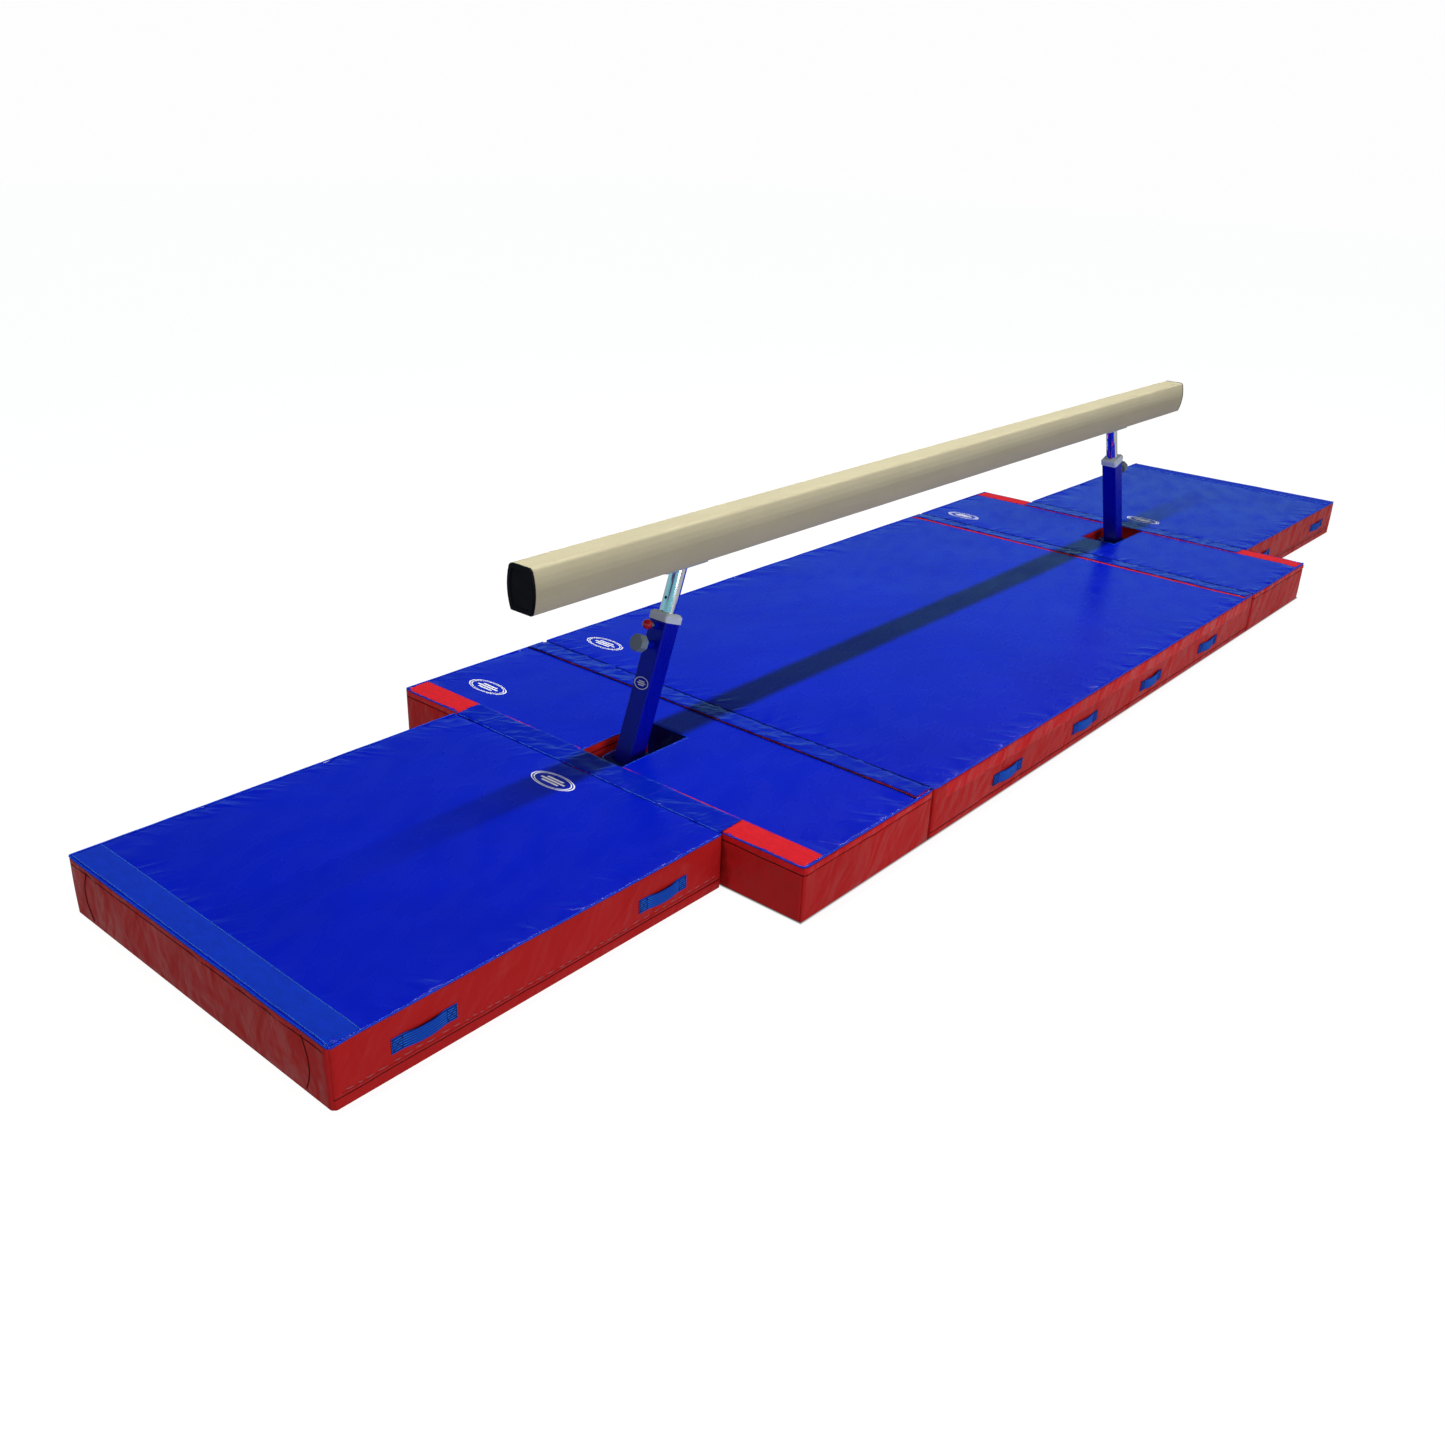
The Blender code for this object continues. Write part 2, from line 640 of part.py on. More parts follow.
def build_foot(end):
    section_z = FOOT_BOTTOM + FOOT_HEIGHT / 2
    half_u, half_v = FOOT_WIDTH / 2, FOOT_HEIGHT / 2
    outer = rounded_rectangle(half_u, half_v, FOOT_CORNER, SMALL_ROUND)
    half_u, half_v = half_u - FOOT_WALL, half_v - FOOT_WALL
    inside_corner = FOOT_CORNER - FOOT_WALL
    inner = rounded_rectangle(half_u, half_v, inside_corner, SMALL_ROUND)
    plug = rounded_rectangle(half_u - GAP, half_v - GAP, inside_corner, SMALL_ROUND)
    reach = FOOT_LENGTH / 2 - FOOT_CAP_FLANGE - GAP
    rings = [
        loop_y(outer, -reach, FOOT_X, section_z),
        loop_y(outer, reach, FOOT_X, section_z),
        loop_y(inner, reach, FOOT_X, section_z),
        loop_y(inner, -reach, FOOT_X, section_z),
    ]
    add_solid(end.label + "_foot_bar", loft(rings, ring=True), "blue_paint", end.upright)
    for label, side in (("right", -1), ("left", 1)):
        flange = side * FOOT_LENGTH / 2
        face = flange - side * FOOT_CAP_FLANGE
        loops = [
            loop_y(outer, flange, FOOT_X, section_z),
            loop_y(outer, face, FOOT_X, section_z),
            loop_y(plug, face, FOOT_X, section_z),
            loop_y(plug, face - side * FOOT_CAP_SPIGOT, FOOT_X, section_z),
        ]
        name = f"{end.label}_{label}_foot_cap"
        add_solid(name, loft(loops), "black_plastic", end.upright)
        pad_y = side * (FOOT_LENGTH / 2 - RUBBER_EDGE_MARGIN - RUBBER_WIDTH / 2)
        pad = block(
            (RUBBER_LENGTH, RUBBER_WIDTH, RUBBER_THICKNESS),
            (FOOT_X, pad_y, RUBBER_THICKNESS / 2),
            RUBBER_THICKNESS / 6,
        )
        add_solid(f"{end.label}_{label}_rubber_foot", pad, "black_rubber", end.upright)
    outer = square(SOCKET_HALF, SOCKET_CORNER, SMALL_ROUND)
    inner = square(OUTER_HALF + GAP, OUTER_CORNER, SMALL_ROUND)
    rings = [
        loop_level(outer, FOOT_TOP + GAP),
        loop_level(outer, SOCKET_TOP),
        loop_level(inner, SOCKET_TOP),
        loop_level(inner, FOOT_TOP + GAP),
    ]
    add_solid(end.label + "_foot_socket", loft(rings, ring=True), "blue_paint", end.leg)


# ---- mats ----


def build_mat(name, inner_x, outer_x, width, parent=None):
    size = (outer_x - inner_x, width, MAT_THICKNESS)
    centre = ((inner_x + outer_x) / 2, 0, MAT_THICKNESS / 2)
    return add_solid(name, block(size, centre, MAT_EDGE, 2), "mat_vinyl", parent)


def build_leg_mat(end):
    name = f"mat_{end.label}_leg"
    mat = build_mat(name, LEG_MAT_INNER_X, LEG_MAT_OUTER_X, WIDE_MAT_WIDTH, end.upright)
    past = 0.05
    slot_length = LEG_MAT_OUTER_X + past - SLOT_INNER_X
    slot = block(
        (slot_length, SLOT_WIDTH, MAT_THICKNESS + 2 * past),
        (SLOT_INNER_X + slot_length / 2, 0, MAT_THICKNESS / 2),
    )
    cut(mat, add_cutter(end.label + "_slot_cutter", slot, end.upright))
    recess_length = LEG_MAT_OUTER_X + past - RECESS_INNER_X
    recess_top = FOOT_TOP + RECESS_TOP_CLEARANCE
    recess = block(
        (recess_length, FOOT_LENGTH + 2 * RECESS_SIDE_CLEARANCE, recess_top + past),
        (RECESS_INNER_X + recess_length / 2, 0, (recess_top - past) / 2),
    )
    cut(mat, add_cutter(end.label + "_recess_cutter", recess, end.upright))


def build_flap(name, seam_x, reach, width):
    # reach is signed: the way the free edge points from the seam.
    half = width / 2 - FLAP_SIDE_MARGIN
    strip = block((abs(reach), 2 * half, FLAP_THICKNESS), (reach / 2, 0, 0))
    hinge_z = FLAP_BOTTOM + FLAP_THICKNESS / 2
    add_solid(name, strip, "flap_vinyl", None, (seam_x, 0, hinge_z))


def build_flaps():
    end_seam = END_MAT_INNER_X + SEAM_INSET
    build_flap("flap_near_end", -end_seam, END_FLAP_REACH, END_MAT_WIDTH)
    build_flap("flap_far_end", end_seam, -END_FLAP_REACH, END_MAT_WIDTH)
    middle_edge = MIDDLE_MAT_LENGTH / 2 - MAT_SPACE / 2
    build_flap("flap_middle", SEAM_INSET - middle_edge, -MIDDLE_FLAP_REACH, WIDE_MAT_WIDTH)
    leg_seam = LEG_MAT_INNER_X + SEAM_INSET
    build_flap("flap_far_leg", leg_seam, -LEG_FLAP_REACH, WIDE_MAT_WIDTH)


# ---- assembly ----


class End:
    """One end of the beam: a label and its two frames, upright and along the leg."""

    def __init__(self, label, turn):
        self.label = label
        self.upright = frame_empty(label + "_end_frame", Matrix.Rotation(turn, 4, "Z"))
        tilt = Matrix.Rotation(-LEG_TILT, 4, "Y")
        place = Matrix.Translation((LEG_TOP_X, 0, BEAM_BOTTOM))
        self.leg = frame_empty(label + "_leg_frame", place @ tilt, self.upright)


def build_end(end, bolt_cutter):
    build_cap(end)
    build_plate(end, bolt_cutter)
    build_bolt(end, "inner", -BOLT_REACH)
    build_bolt(end, "outer", BOLT_REACH)
    build_inner_tube(end)
    build_guide_bush(end)
    build_outer_tube(end)
    build_collar(end)
    build_plunger(end)
    build_clamp(end)
    build_foot(end)
    build_leg_mat(end)
    name = f"mat_{end.label}_end"
    build_mat(name, END_MAT_INNER_X, END_MAT_OUTER_X, END_MAT_WIDTH, end.upright)


def main():
    clear_scene()
    bolt_cutter = build_beam()
    for label, turn in (("near", math.pi), ("far", 0.0)):
        build_end(End(label, turn), bolt_cutter)
    middle_half = MIDDLE_MAT_LENGTH / 2 - MAT_SPACE / 2
    build_mat("mat_middle", -middle_half, middle_half, WIDE_MAT_WIDTH)
    build_flaps()


main()
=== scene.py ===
import json
import math

import bmesh
import bpy
import numpy as np
from mathutils import Matrix, Vector, geometry
from mathutils.bvhtree import BVHTree


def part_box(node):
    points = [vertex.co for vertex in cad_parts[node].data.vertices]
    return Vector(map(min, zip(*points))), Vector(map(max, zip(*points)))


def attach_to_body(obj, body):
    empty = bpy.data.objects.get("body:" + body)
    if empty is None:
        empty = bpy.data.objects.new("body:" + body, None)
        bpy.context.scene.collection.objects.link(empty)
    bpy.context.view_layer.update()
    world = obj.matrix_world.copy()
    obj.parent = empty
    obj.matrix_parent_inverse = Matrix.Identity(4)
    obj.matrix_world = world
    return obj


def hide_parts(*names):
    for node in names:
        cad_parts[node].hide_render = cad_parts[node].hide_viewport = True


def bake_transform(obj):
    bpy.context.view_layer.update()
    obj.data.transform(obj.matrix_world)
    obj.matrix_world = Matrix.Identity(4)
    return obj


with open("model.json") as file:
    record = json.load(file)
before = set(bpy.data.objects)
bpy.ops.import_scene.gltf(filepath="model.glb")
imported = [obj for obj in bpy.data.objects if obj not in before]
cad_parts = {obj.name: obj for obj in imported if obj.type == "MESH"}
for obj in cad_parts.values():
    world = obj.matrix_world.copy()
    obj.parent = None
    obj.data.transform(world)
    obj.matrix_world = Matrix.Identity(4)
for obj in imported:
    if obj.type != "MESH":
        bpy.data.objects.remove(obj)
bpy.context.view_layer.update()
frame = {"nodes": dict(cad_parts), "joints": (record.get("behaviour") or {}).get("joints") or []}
scene = bpy.context.scene
print("frame loaded:", len(frame["nodes"]), "nodes")

# camera, light and floor

cameraView = {
    "place": (-5.171, -3.077, 2.323),
    "heading": 39.713,  # degrees from +X towards +Y
    "tilt": -24.58,
    "roll": 2.214,
    "lens": 33.22,
    "sensor": 36.0,
}

studio = {
    "skyLight": (0.21, 0.195, 0.17),  # what lights the object from all round
    "skyGloss": 0.03,  # what its gloss shows overhead
    "wallGloss": (0.22, 0.52, 0.60),  # and low down, which is where the far mats' sheen comes from
    "wallTop": (0.20, 0.50),  # where the walls fade out, as the height of the direction
    "skySeen": 0.985,  # plain backdrop behind the object
    "stripLength": 10.5,
    "stripWidth": 0.22,
    "stripHeight": 5.4,
    "stripPower": 400,
    "sheenPower": 4,  # seen only as gloss on the covers
    "frontPower": 300,
    "floorSize": 70,
    "floorColour": (0.10, 0.10, 0.10),
    "floorGlow": 0.95,  # as seen
    "floorBounce": 0.34,  # what it throws back on the object
    # painted shade: a dark patch of floor under the mats, so the slot bottoms read as shaded
    "shadeUnderMats": (2.245, 0.998),  # the floor stays dark under the mats, so their slots do too
}


def linkObject(thing):
    scene.collection.objects.link(thing)
    return thing


def makeCamera(look):
    data = bpy.data.cameras.new("camera")
    data.lens = look["lens"]
    data.sensor_width = look["sensor"]
    data.clip_end = 200
    camera = linkObject(bpy.data.objects.new("camera", data))
    turn = Matrix.Rotation(math.radians(look["heading"] - 90), 4, "Z")
    lean = Matrix.Rotation(math.radians(90 + look["tilt"]), 4, "X")
    roll = Matrix.Rotation(math.radians(look["roll"]), 4, "Z")
    camera.matrix_world = Matrix.Translation(look["place"]) @ turn @ lean @ roll
    scene.camera = camera


def areaLight(name, place, target, size, power, colour=(1, 1, 1)):
    data = bpy.data.lights.new(name, "AREA")
    data.shape = "RECTANGLE"
    data.size, data.size_y = size
    data.energy = power
    data.color = colour
    lamp = linkObject(bpy.data.objects.new(name, data))
    lamp.location = place
    lamp.rotation_euler = (Vector(target) - Vector(place)).to_track_quat("-Z", "Y").to_euler()
    return lamp


def makeWorld(look):
    world = bpy.data.worlds.new("studio")
    world.use_nodes = True
    scene.world = world
    nodes, links = world.node_tree.nodes, world.node_tree.links
    nodes.clear()
    path = nodes.new("ShaderNodeLightPath")
    lights = nodes.new("ShaderNodeBackground")
    seen = nodes.new("ShaderNodeBackground")
    mix = nodes.new("ShaderNodeMixShader")
    out = nodes.new("ShaderNodeOutputWorld")
    heading = nodes.new("ShaderNodeTexCoord")
    parts = nodes.new("ShaderNodeSeparateXYZ")
    walls = nodes.new("ShaderNodeMapRange")
    tint = nodes.new("ShaderNodeMix")
    tint.data_type = "RGBA"
    walls.inputs["From Min"].default_value, walls.inputs["From Max"].default_value = look["wallTop"]
    tint.inputs[6].default_value = (*look["wallGloss"], 1)
    tint.inputs[7].default_value = (*[look["skyGloss"]] * 3, 1)
    links.new(heading.outputs["Generated"], parts.inputs[0])
    links.new(parts.outputs["Z"], walls.inputs["Value"])
    links.new(walls.outputs["Result"], tint.inputs["Factor"])
    either = nodes.new("ShaderNodeMix")
    either.data_type = "RGBA"
    either.inputs[6].default_value = (*look["skyLight"], 1)
    links.new(path.outputs["Is Glossy Ray"], either.inputs["Factor"])
    links.new(tint.outputs[2], either.inputs[7])
    links.new(either.outputs[2], lights.inputs["Color"])
    seen.inputs["Strength"].default_value = look["skySeen"]
    seen.inputs["Color"].default_value = (1, 1, 1, 1)
    links.new(path.outputs["Is Camera Ray"], mix.inputs[0])
    links.new(lights.outputs[0], mix.inputs[1])
    links.new(seen.outputs[0], mix.inputs[2])
    links.new(mix.outputs[0], out.inputs["Surface"])


def makeLights(look):
    # one long strip overhead, so that the beam throws a band of shade down the middle of the mats
    top = (0, 0, look["stripHeight"])
    areaLight("strip", top, (0, 0, 0), (look["stripLength"], look["stripWidth"]), look["stripPower"])
    sheen = areaLight("sheen", (3.4, 6.2, 7.2), (-0.5, 0, 0), (5.0, 1.6), look["sheenPower"], (0.9, 0.95, 1))
    sheen.visible_diffuse = False  # gloss only: it throws no shade
    areaLight("front", (-2.0, -9.5, 2.6), (-0.5, 0, 0.4), (6.0, 2.5), look["frontPower"])


# materials


class Finish:
    # a Principled material whose colour, roughness and relief are built up step by step

    def __init__(self, name, colour, roughness, metallic=0.0, specular=0.5):
        self.material = bpy.data.materials.new(name)
        self.material.use_nodes = True
        self.nodes = self.material.node_tree.nodes
        self.links = self.material.node_tree.links
        self.shader = self.nodes["Principled BSDF"]
        self.shader.inputs["Base Color"].default_value = (*colour, 1)
        self.shader.inputs["Roughness"].default_value = roughness
        self.shader.inputs["Metallic"].default_value = metallic
        self.shader.inputs["Specular IOR Level"].default_value = specular
        self.where = self.nodes.new("ShaderNodeTexCoord").outputs["Object"]
        self.relief = None

    def number(self, socket, value):
        self.shader.inputs[socket].default_value = value
        return self

    def stretched(self, scale=(1, 1, 1), turn=(0, 0, 0)):
        mapping = self.nodes.new("ShaderNodeMapping")
        mapping.vector_type = "TEXTURE"  # turned first, then stretched
        mapping.inputs["Scale"].default_value = tuple(1 / s for s in scale)
        mapping.inputs["Rotation"].default_value = turn
        self.links.new(self.where, mapping.inputs["Vector"])
        return mapping.outputs["Vector"]

    def noise(self, scale, detail=3.0, rough=0.55, along=(1, 1, 1), turn=(0, 0, 0), twist=0.0):
        node = self.nodes.new("ShaderNodeTexNoise")
        node.inputs["Scale"].default_value = scale
        node.inputs["Detail"].default_value = detail
        node.inputs["Roughness"].default_value = rough
        node.inputs["Distortion"].default_value = twist
        self.links.new(self.stretched(along, turn), node.inputs["Vector"])
        return node.outputs["Fac"]

    def waves(self, scale, direction="X", profile="SIN", twist=0.0, detail=0.0, turn=(0, 0, 0)):
        node = self.nodes.new("ShaderNodeTexWave")
        node.bands_direction = direction
        node.wave_profile = profile
        node.inputs["Scale"].default_value = scale
        node.inputs["Distortion"].default_value = twist
        node.inputs["Detail"].default_value = detail
        self.links.new(self.stretched(turn=turn), node.inputs["Vector"])
        return node.outputs["Fac"]

    def cells(self, scale, feature="F1"):
        node = self.nodes.new("ShaderNodeTexVoronoi")
        node.feature = feature
        node.inputs["Scale"].default_value = scale
        self.links.new(self.where, node.inputs["Vector"])
        return node.outputs["Distance"]

    def painted(self, name):
        # a weight that the mesh carries
        node = self.nodes.new("ShaderNodeAttribute")
        node.attribute_name = name
        return node.outputs["Fac"]

    def spread(self, value, low, high, fromLow=0.0, fromHigh=1.0):
        node = self.nodes.new("ShaderNodeMapRange")
        node.inputs["From Min"].default_value = fromLow
        node.inputs["From Max"].default_value = fromHigh
        node.inputs["To Min"].default_value = low
        node.inputs["To Max"].default_value = high
        self.links.new(value, node.inputs["Value"])
        return node.outputs["Result"]

    def worked(self, operation, a, b):
        node = self.nodes.new("ShaderNodeMath")
        node.operation = operation
        self.links.new(a, node.inputs[0])
        self.links.new(b, node.inputs[1])
        return node.outputs[0]

    def times(self, a, b):
        return self.worked("MULTIPLY", a, b)

    def larger(self, a, b):
        return self.worked("MAXIMUM", a, b)

    def colours(self, value, *stops):
        ramp = self.nodes.new("ShaderNodeValToRGB")
        ramp.color_ramp.elements[0].position = stops[0][0]
        ramp.color_ramp.elements[0].color = (*stops[0][1], 1)
        ramp.color_ramp.elements[1].position = stops[-1][0]
        ramp.color_ramp.elements[1].color = (*stops[-1][1], 1)
        for place, colour in stops[1:-1]:
            ramp.color_ramp.elements.new(place).color = (*colour, 1)
        self.links.new(value, ramp.inputs["Fac"])
        return ramp.outputs["Color"]

    def blended(self, share, first, second):
        node = self.nodes.new("ShaderNodeMix")
        node.data_type = "RGBA"
        self.links.new(share, node.inputs["Factor"])
        self.links.new(first, node.inputs[6])
        self.links.new(second, node.inputs[7])
        return node.outputs[2]

    def paint(self, colour):
        self.links.new(colour, self.shader.inputs["Base Color"])
        return self

    def gloss(self, value):
        self.links.new(value, self.shader.inputs["Roughness"])
        return self

    def bump(self, height, depth, strength=1.0):
        node = self.nodes.new("ShaderNodeBump")
        node.inputs["Distance"].default_value = depth
        node.inputs["Strength"].default_value = strength
        self.links.new(height, node.inputs["Height"])
        if self.relief:
            self.links.new(self.relief, node.inputs["Normal"])
        self.relief = node.outputs["Normal"]
        self.links.new(self.relief, self.shader.inputs["Normal"])
        return self


def shade(colour, factor):
    return tuple(min(1, c * factor) for c in colour)


vinylLook = {
    "topBlue": (0.0, 0.0085, 0.46),
    "flapBlue": (0.0, 0.0110, 0.40),
    "sideRed": (0.52, 0.015, 0.017),
    "bandRed": (0.66, 0.012, 0.016),
    "roughness": (0.22, 0.33),
    "specular": 0.13,
    "foldDepth": 0.0016,
    "creaseDepth": 0.0042,
    "grainDepth": 0.000008,
}


def coverVinyl(name, colour, look=vinylLook, crease=1.0, roughness=None, upright=False, specular=None):
    # coated mat cover: fine grain, patchy sheen, long soft folds, and creases where the mesh asks for them
    low, high = roughness or look["roughness"]
    finish = Finish(name, colour, low, specular=look["specular"] if specular is None else specular)
    patches = finish.noise(2.3, 4, 0.6)
    finish.paint(finish.colours(patches, (0.3, shade(colour, 0.92)), (0.7, shade(colour, 1.07))))
    smears = finish.noise(5, 2.5, 0.5, along=(1, 2.2, 1), turn=(0, 0, 0.4))
    finish.gloss(finish.spread(smears, low, high, 0.35, 0.68))
    if upright:
        folds = finish.noise(9, 2, 0.5, along=(1, 1, 0.28), turn=(0.45, 0.62, 0), twist=0.35)
        finish.bump(folds, look["foldDepth"] * 17 * crease, 1.0)
        finer = finish.noise(26, 2, 0.5, along=(1, 1, 0.2), turn=(-0.3, 0.2, 0))
        finish.bump(finer, look["foldDepth"] * 2.5 * crease, 0.8)
    else:
        folds = finish.noise(3.0, 2, 0.45, along=(0.35, 1.6, 1), turn=(0, 0, -0.6), twist=0.3)
        finish.bump(folds, look["foldDepth"] * 1.6 * crease, 0.5)
    for weight, along, turn in (("creaseX", (0.24, 1, 1), -0.35), ("creaseY", (1, 0.24, 1), 0.60)):
        ridges = finish.noise(20, 1.6, 0.45, along=along, turn=(0, 0, turn), twist=0.5)
        sharp = finish.spread(ridges, 0.0, 1.0, 0.50, 0.76)
        finish.bump(finish.times(sharp, finish.painted(weight)), look["creaseDepth"] * crease, 0.9)
    finish.bump(finish.noise(420, 2, 0.6), look["grainDepth"], 0.5)
    return finish.material


def hookTape(name, colour):
    # brushed loop pile
    finish = Finish(name, colour, 0.85, specular=0.06)
    pile = finish.noise(420, 3, 0.7)
    brushed = finish.noise(30, 5, 0.65, along=(1.6, 0.7, 1), twist=0.5)
    mottled = finish.colours(brushed, (0.32, shade(colour, 0.78)), (0.68, shade(colour, 1.18)))
    fibres = finish.colours(pile, (0.3, shade(colour, 0.7)), (0.7, shade(colour, 1.25)))
    finish.paint(finish.blended(finish.spread(pile, 0.3, 0.6), mottled, fibres))
    finish.bump(brushed, 0.0012, 0.5)
    finish.bump(pile, 0.0006, 0.9)
    finish.number("Sheen Weight", 0.05).number("Sheen Roughness", 0.5)
    return finish.material


def webbing(name, colour):
    # woven strap with ribs along its length
    finish = Finish(name, colour, 0.6, specular=0.07)
    ribs = finish.waves(42, "Z")
    picks = finish.waves(60, "X", "TRI")
    weave = finish.times(ribs, finish.spread(picks, 0.94, 1.0))
    tones = ((0.15, shade(colour, 0.50)), (0.55, colour), (0.90, shade(colour, 1.7)))
    finish.paint(finish.colours(weave, *tones))
    finish.bump(weave, 0.0007, 0.8)
    finish.bump(finish.noise(800, 2), 0.0002, 0.5)
    finish.gloss(finish.spread(finish.noise(60), 0.45, 0.65))
    return finish.material


def suedeCover(name, colour):
    # beige synthetic suede: short nap with brushed patches
    finish = Finish(name, colour, 0.92, specular=0.08)
    nap = finish.noise(650, 3, 0.7)
    brushed = finish.noise(9, 5, 0.6, along=(0.5, 1.5, 1.5), twist=0.4)
    broad = finish.colours(brushed, (0.3, shade(colour, 0.93)), (0.7, shade(colour, 1.05)))
    fine = finish.colours(nap, (0.25, shade(colour, 0.78)), (0.75, shade(colour, 1.16)))
    finish.paint(finish.blended(finish.spread(nap, 0.2, 0.5), broad, fine))
    finish.gloss(finish.spread(brushed, 0.82, 0.96))
    finish.bump(brushed, 0.0010, 0.4)
    finish.bump(nap, 0.00035, 0.8)
    finish.number("Sheen Weight", 0.04).number("Sheen Roughness", 0.55)
    return finish.material


def mouldedPlastic(name, colour, roughness=0.45, grain=0.00015, specular=0.22):
    finish = Finish(name, colour, roughness, specular=specular)
    pits = finish.noise(1400, 2, 0.6)
    handled = finish.noise(14, 4, 0.6)
    finish.paint(finish.colours(handled, (0.3, shade(colour, 0.88)), (0.75, shade(colour, 1.1))))
    finish.gloss(finish.spread(handled, roughness - 0.07, roughness + 0.1, 0.3, 0.7))
    finish.bump(pits, grain, 0.7)
    return finish.material


def legPaint(name, colour):
    # powder coat on steel: orange peel and a few duller, rubbed patches
    finish = Finish(name, colour, 0.3, specular=0.14)
    peel = finish.cells(420, "SMOOTH_F1")
    rubbed = finish.noise(11, 6, 0.65, along=(1, 1, 0.35))
    finish.paint(finish.colours(rubbed, (0.3, shade(colour, 0.86)), (0.72, shade(colour, 1.1))))
    finish.gloss(finish.spread(rubbed, 0.24, 0.42, 0.35, 0.75))
    finish.bump(peel, 0.00025, 0.35)
    finish.number("Coat Weight", 0.06).number("Coat Roughness", 0.12)
    return finish.material


def polishedChrome(name):
    finish = Finish(name, (0.83, 0.85, 0.88), 0.06, metallic=1.0)
    wiped = finish.noise(40, 5, 0.6, along=(1, 1, 0.12))
    finish.gloss(finish.spread(wiped, 0.04, 0.14, 0.35, 0.75))
    finish.paint(finish.colours(wiped, (0.3, (0.76, 0.78, 0.82)), (0.7, (0.87, 0.89, 0.92))))
    finish.bump(finish.noise(300, 2, 0.5, along=(1, 1, 0.1)), 0.00003, 0.4)
    return finish.material


def zincCoated(name, colour, roughness, spangle):
    # metal with crystals of zinc and a light drawn grain
    finish = Finish(name, colour, roughness, metallic=1.0)
    crystals = finish.cells(spangle)
    drawn = finish.noise(90, 4, 0.6, along=(0.2, 1, 1))
    tone = finish.colours(crystals, (0.1, shade(colour, 0.8)), (0.6, shade(colour, 1.1)))
    worn = finish.colours(drawn, (0.3, shade(colour, 0.75)), (0.7, shade(colour, 1.12)))
    finish.paint(finish.blended(finish.spread(drawn, 0.2, 0.6), tone, worn))
    finish.gloss(finish.spread(crystals, roughness - 0.1, roughness + 0.14, 0.0, 0.8))
    finish.bump(drawn, 0.00012, 0.5)
    return finish.material


def rubberPad(name):
    finish = Finish(name, (0.02, 0.02, 0.021), 0.8, specular=0.3)
    dust = finish.noise(35, 5, 0.65)
    finish.paint(finish.colours(dust, (0.35, (0.012, 0.012, 0.013)), (0.8, (0.05, 0.049, 0.047))))
    finish.bump(finish.cells(500), 0.0004, 0.6)
    finish.gloss(finish.spread(dust, 0.7, 0.9))
    return finish.material


def baseFabric(name):
    # non-slip underside: dark coated cloth with raised dots
    finish = Finish(name, (0.02, 0.022, 0.03), 0.7, specular=0.3)
    dots = finish.cells(75)
    finish.paint(finish.colours(dots, (0.2, (0.06, 0.062, 0.07)), (0.45, (0.015, 0.016, 0.022))))
    finish.bump(finish.spread(dots, 1.0, 0.0, 0.0, 0.5), 0.0012, 0.8)
    finish.bump(finish.noise(700, 2), 0.0002, 0.5)
    return finish.material


def sewingThread(name, colour):
    finish = Finish(name, colour, 0.6, specular=0.3)
    plies = finish.noise(1500, 2, 0.5)
    finish.paint(finish.colours(plies, (0.3, shade(colour, 0.6)), (0.7, shade(colour, 1.3))))
    finish.bump(plies, 0.0002, 0.8)
    return finish.material


def whitePrint(name):
    # screen print on vinyl, slightly worn
    finish = Finish(name, (0.86, 0.88, 0.92), 0.45, specular=0.2)
    wear = finish.noise(120, 5, 0.7)
    finish.paint(finish.colours(wear, (0.24, (0.55, 0.6, 0.76)), (0.36, (0.88, 0.90, 0.94))))
    finish.bump(wear, 0.0001, 0.5)
    return finish.material


topBlue = coverVinyl("topBlueVinyl", vinylLook["topBlue"])
flapBlue = coverVinyl(
    "flapBlueVinyl", vinylLook["flapBlue"], crease=1.7, roughness=(0.18, 0.30), specular=0.14)
sideRed = coverVinyl(
    "sideRedVinyl", vinylLook["sideRed"], upright=True, roughness=(0.27, 0.40), specular=0.065)
bandRed = coverVinyl(
    "bandRedVinyl", vinylLook["bandRed"], crease=1.3, upright=True, roughness=(0.24, 0.36), specular=0.10)
# partly painted highlight: the piping is real, but its paler, greener blue stands for the light line along
# the top edges
pipeBlueHighlight = coverVinyl(
    "pipingHighlightBlueVinyl", (0.003, 0.040, 0.56), crease=0.3, roughness=(0.32, 0.42), specular=0.09)
# painted shade: near-black red for the shade in the slot mats' grooves, the end mats' corner seams and the
# line under their hem
seamShadeRed = coverVinyl("seamShadeVinyl", (0.045, 0.003, 0.004), crease=0.3, roughness=(0.6, 0.75), specular=0.05)
# painted shade: dark navy for the slot's inner end wall, which sits in shade
slotShadeBlue = coverVinyl(
    "slotEndShadeVinyl", (0.0, 0.004, 0.13), crease=1.0, upright=True, roughness=(0.3, 0.4), specular=0.06)
# painted shade: near-black blue for the shadow lines at the flaps' free edges, along their sewn edges and in
# the gaps between mats
seamShadeBlue = coverVinyl(
    "seamShadeBlueVinyl", (0.0, 0.002, 0.035), crease=0.3, roughness=(0.6, 0.75), specular=0.05)
baseDark = baseFabric("nonSlipBase")
loopRed = hookTape("redLoopTape", (0.62, 0.010, 0.020))
loopBlue = hookTape("blueLoopTape", (0.0, 0.028, 0.46))
hookBlack = hookTape("darkHookTape", (0.02, 0.022, 0.03))
strapBlue = webbing("blueWebbing", (0.002, 0.050, 0.46))
strapPale = webbing("paleWebbingStripe", (0.012, 0.13, 0.72))
threadBlue = sewingThread("paleBlueThread", (0.03, 0.15, 0.70))
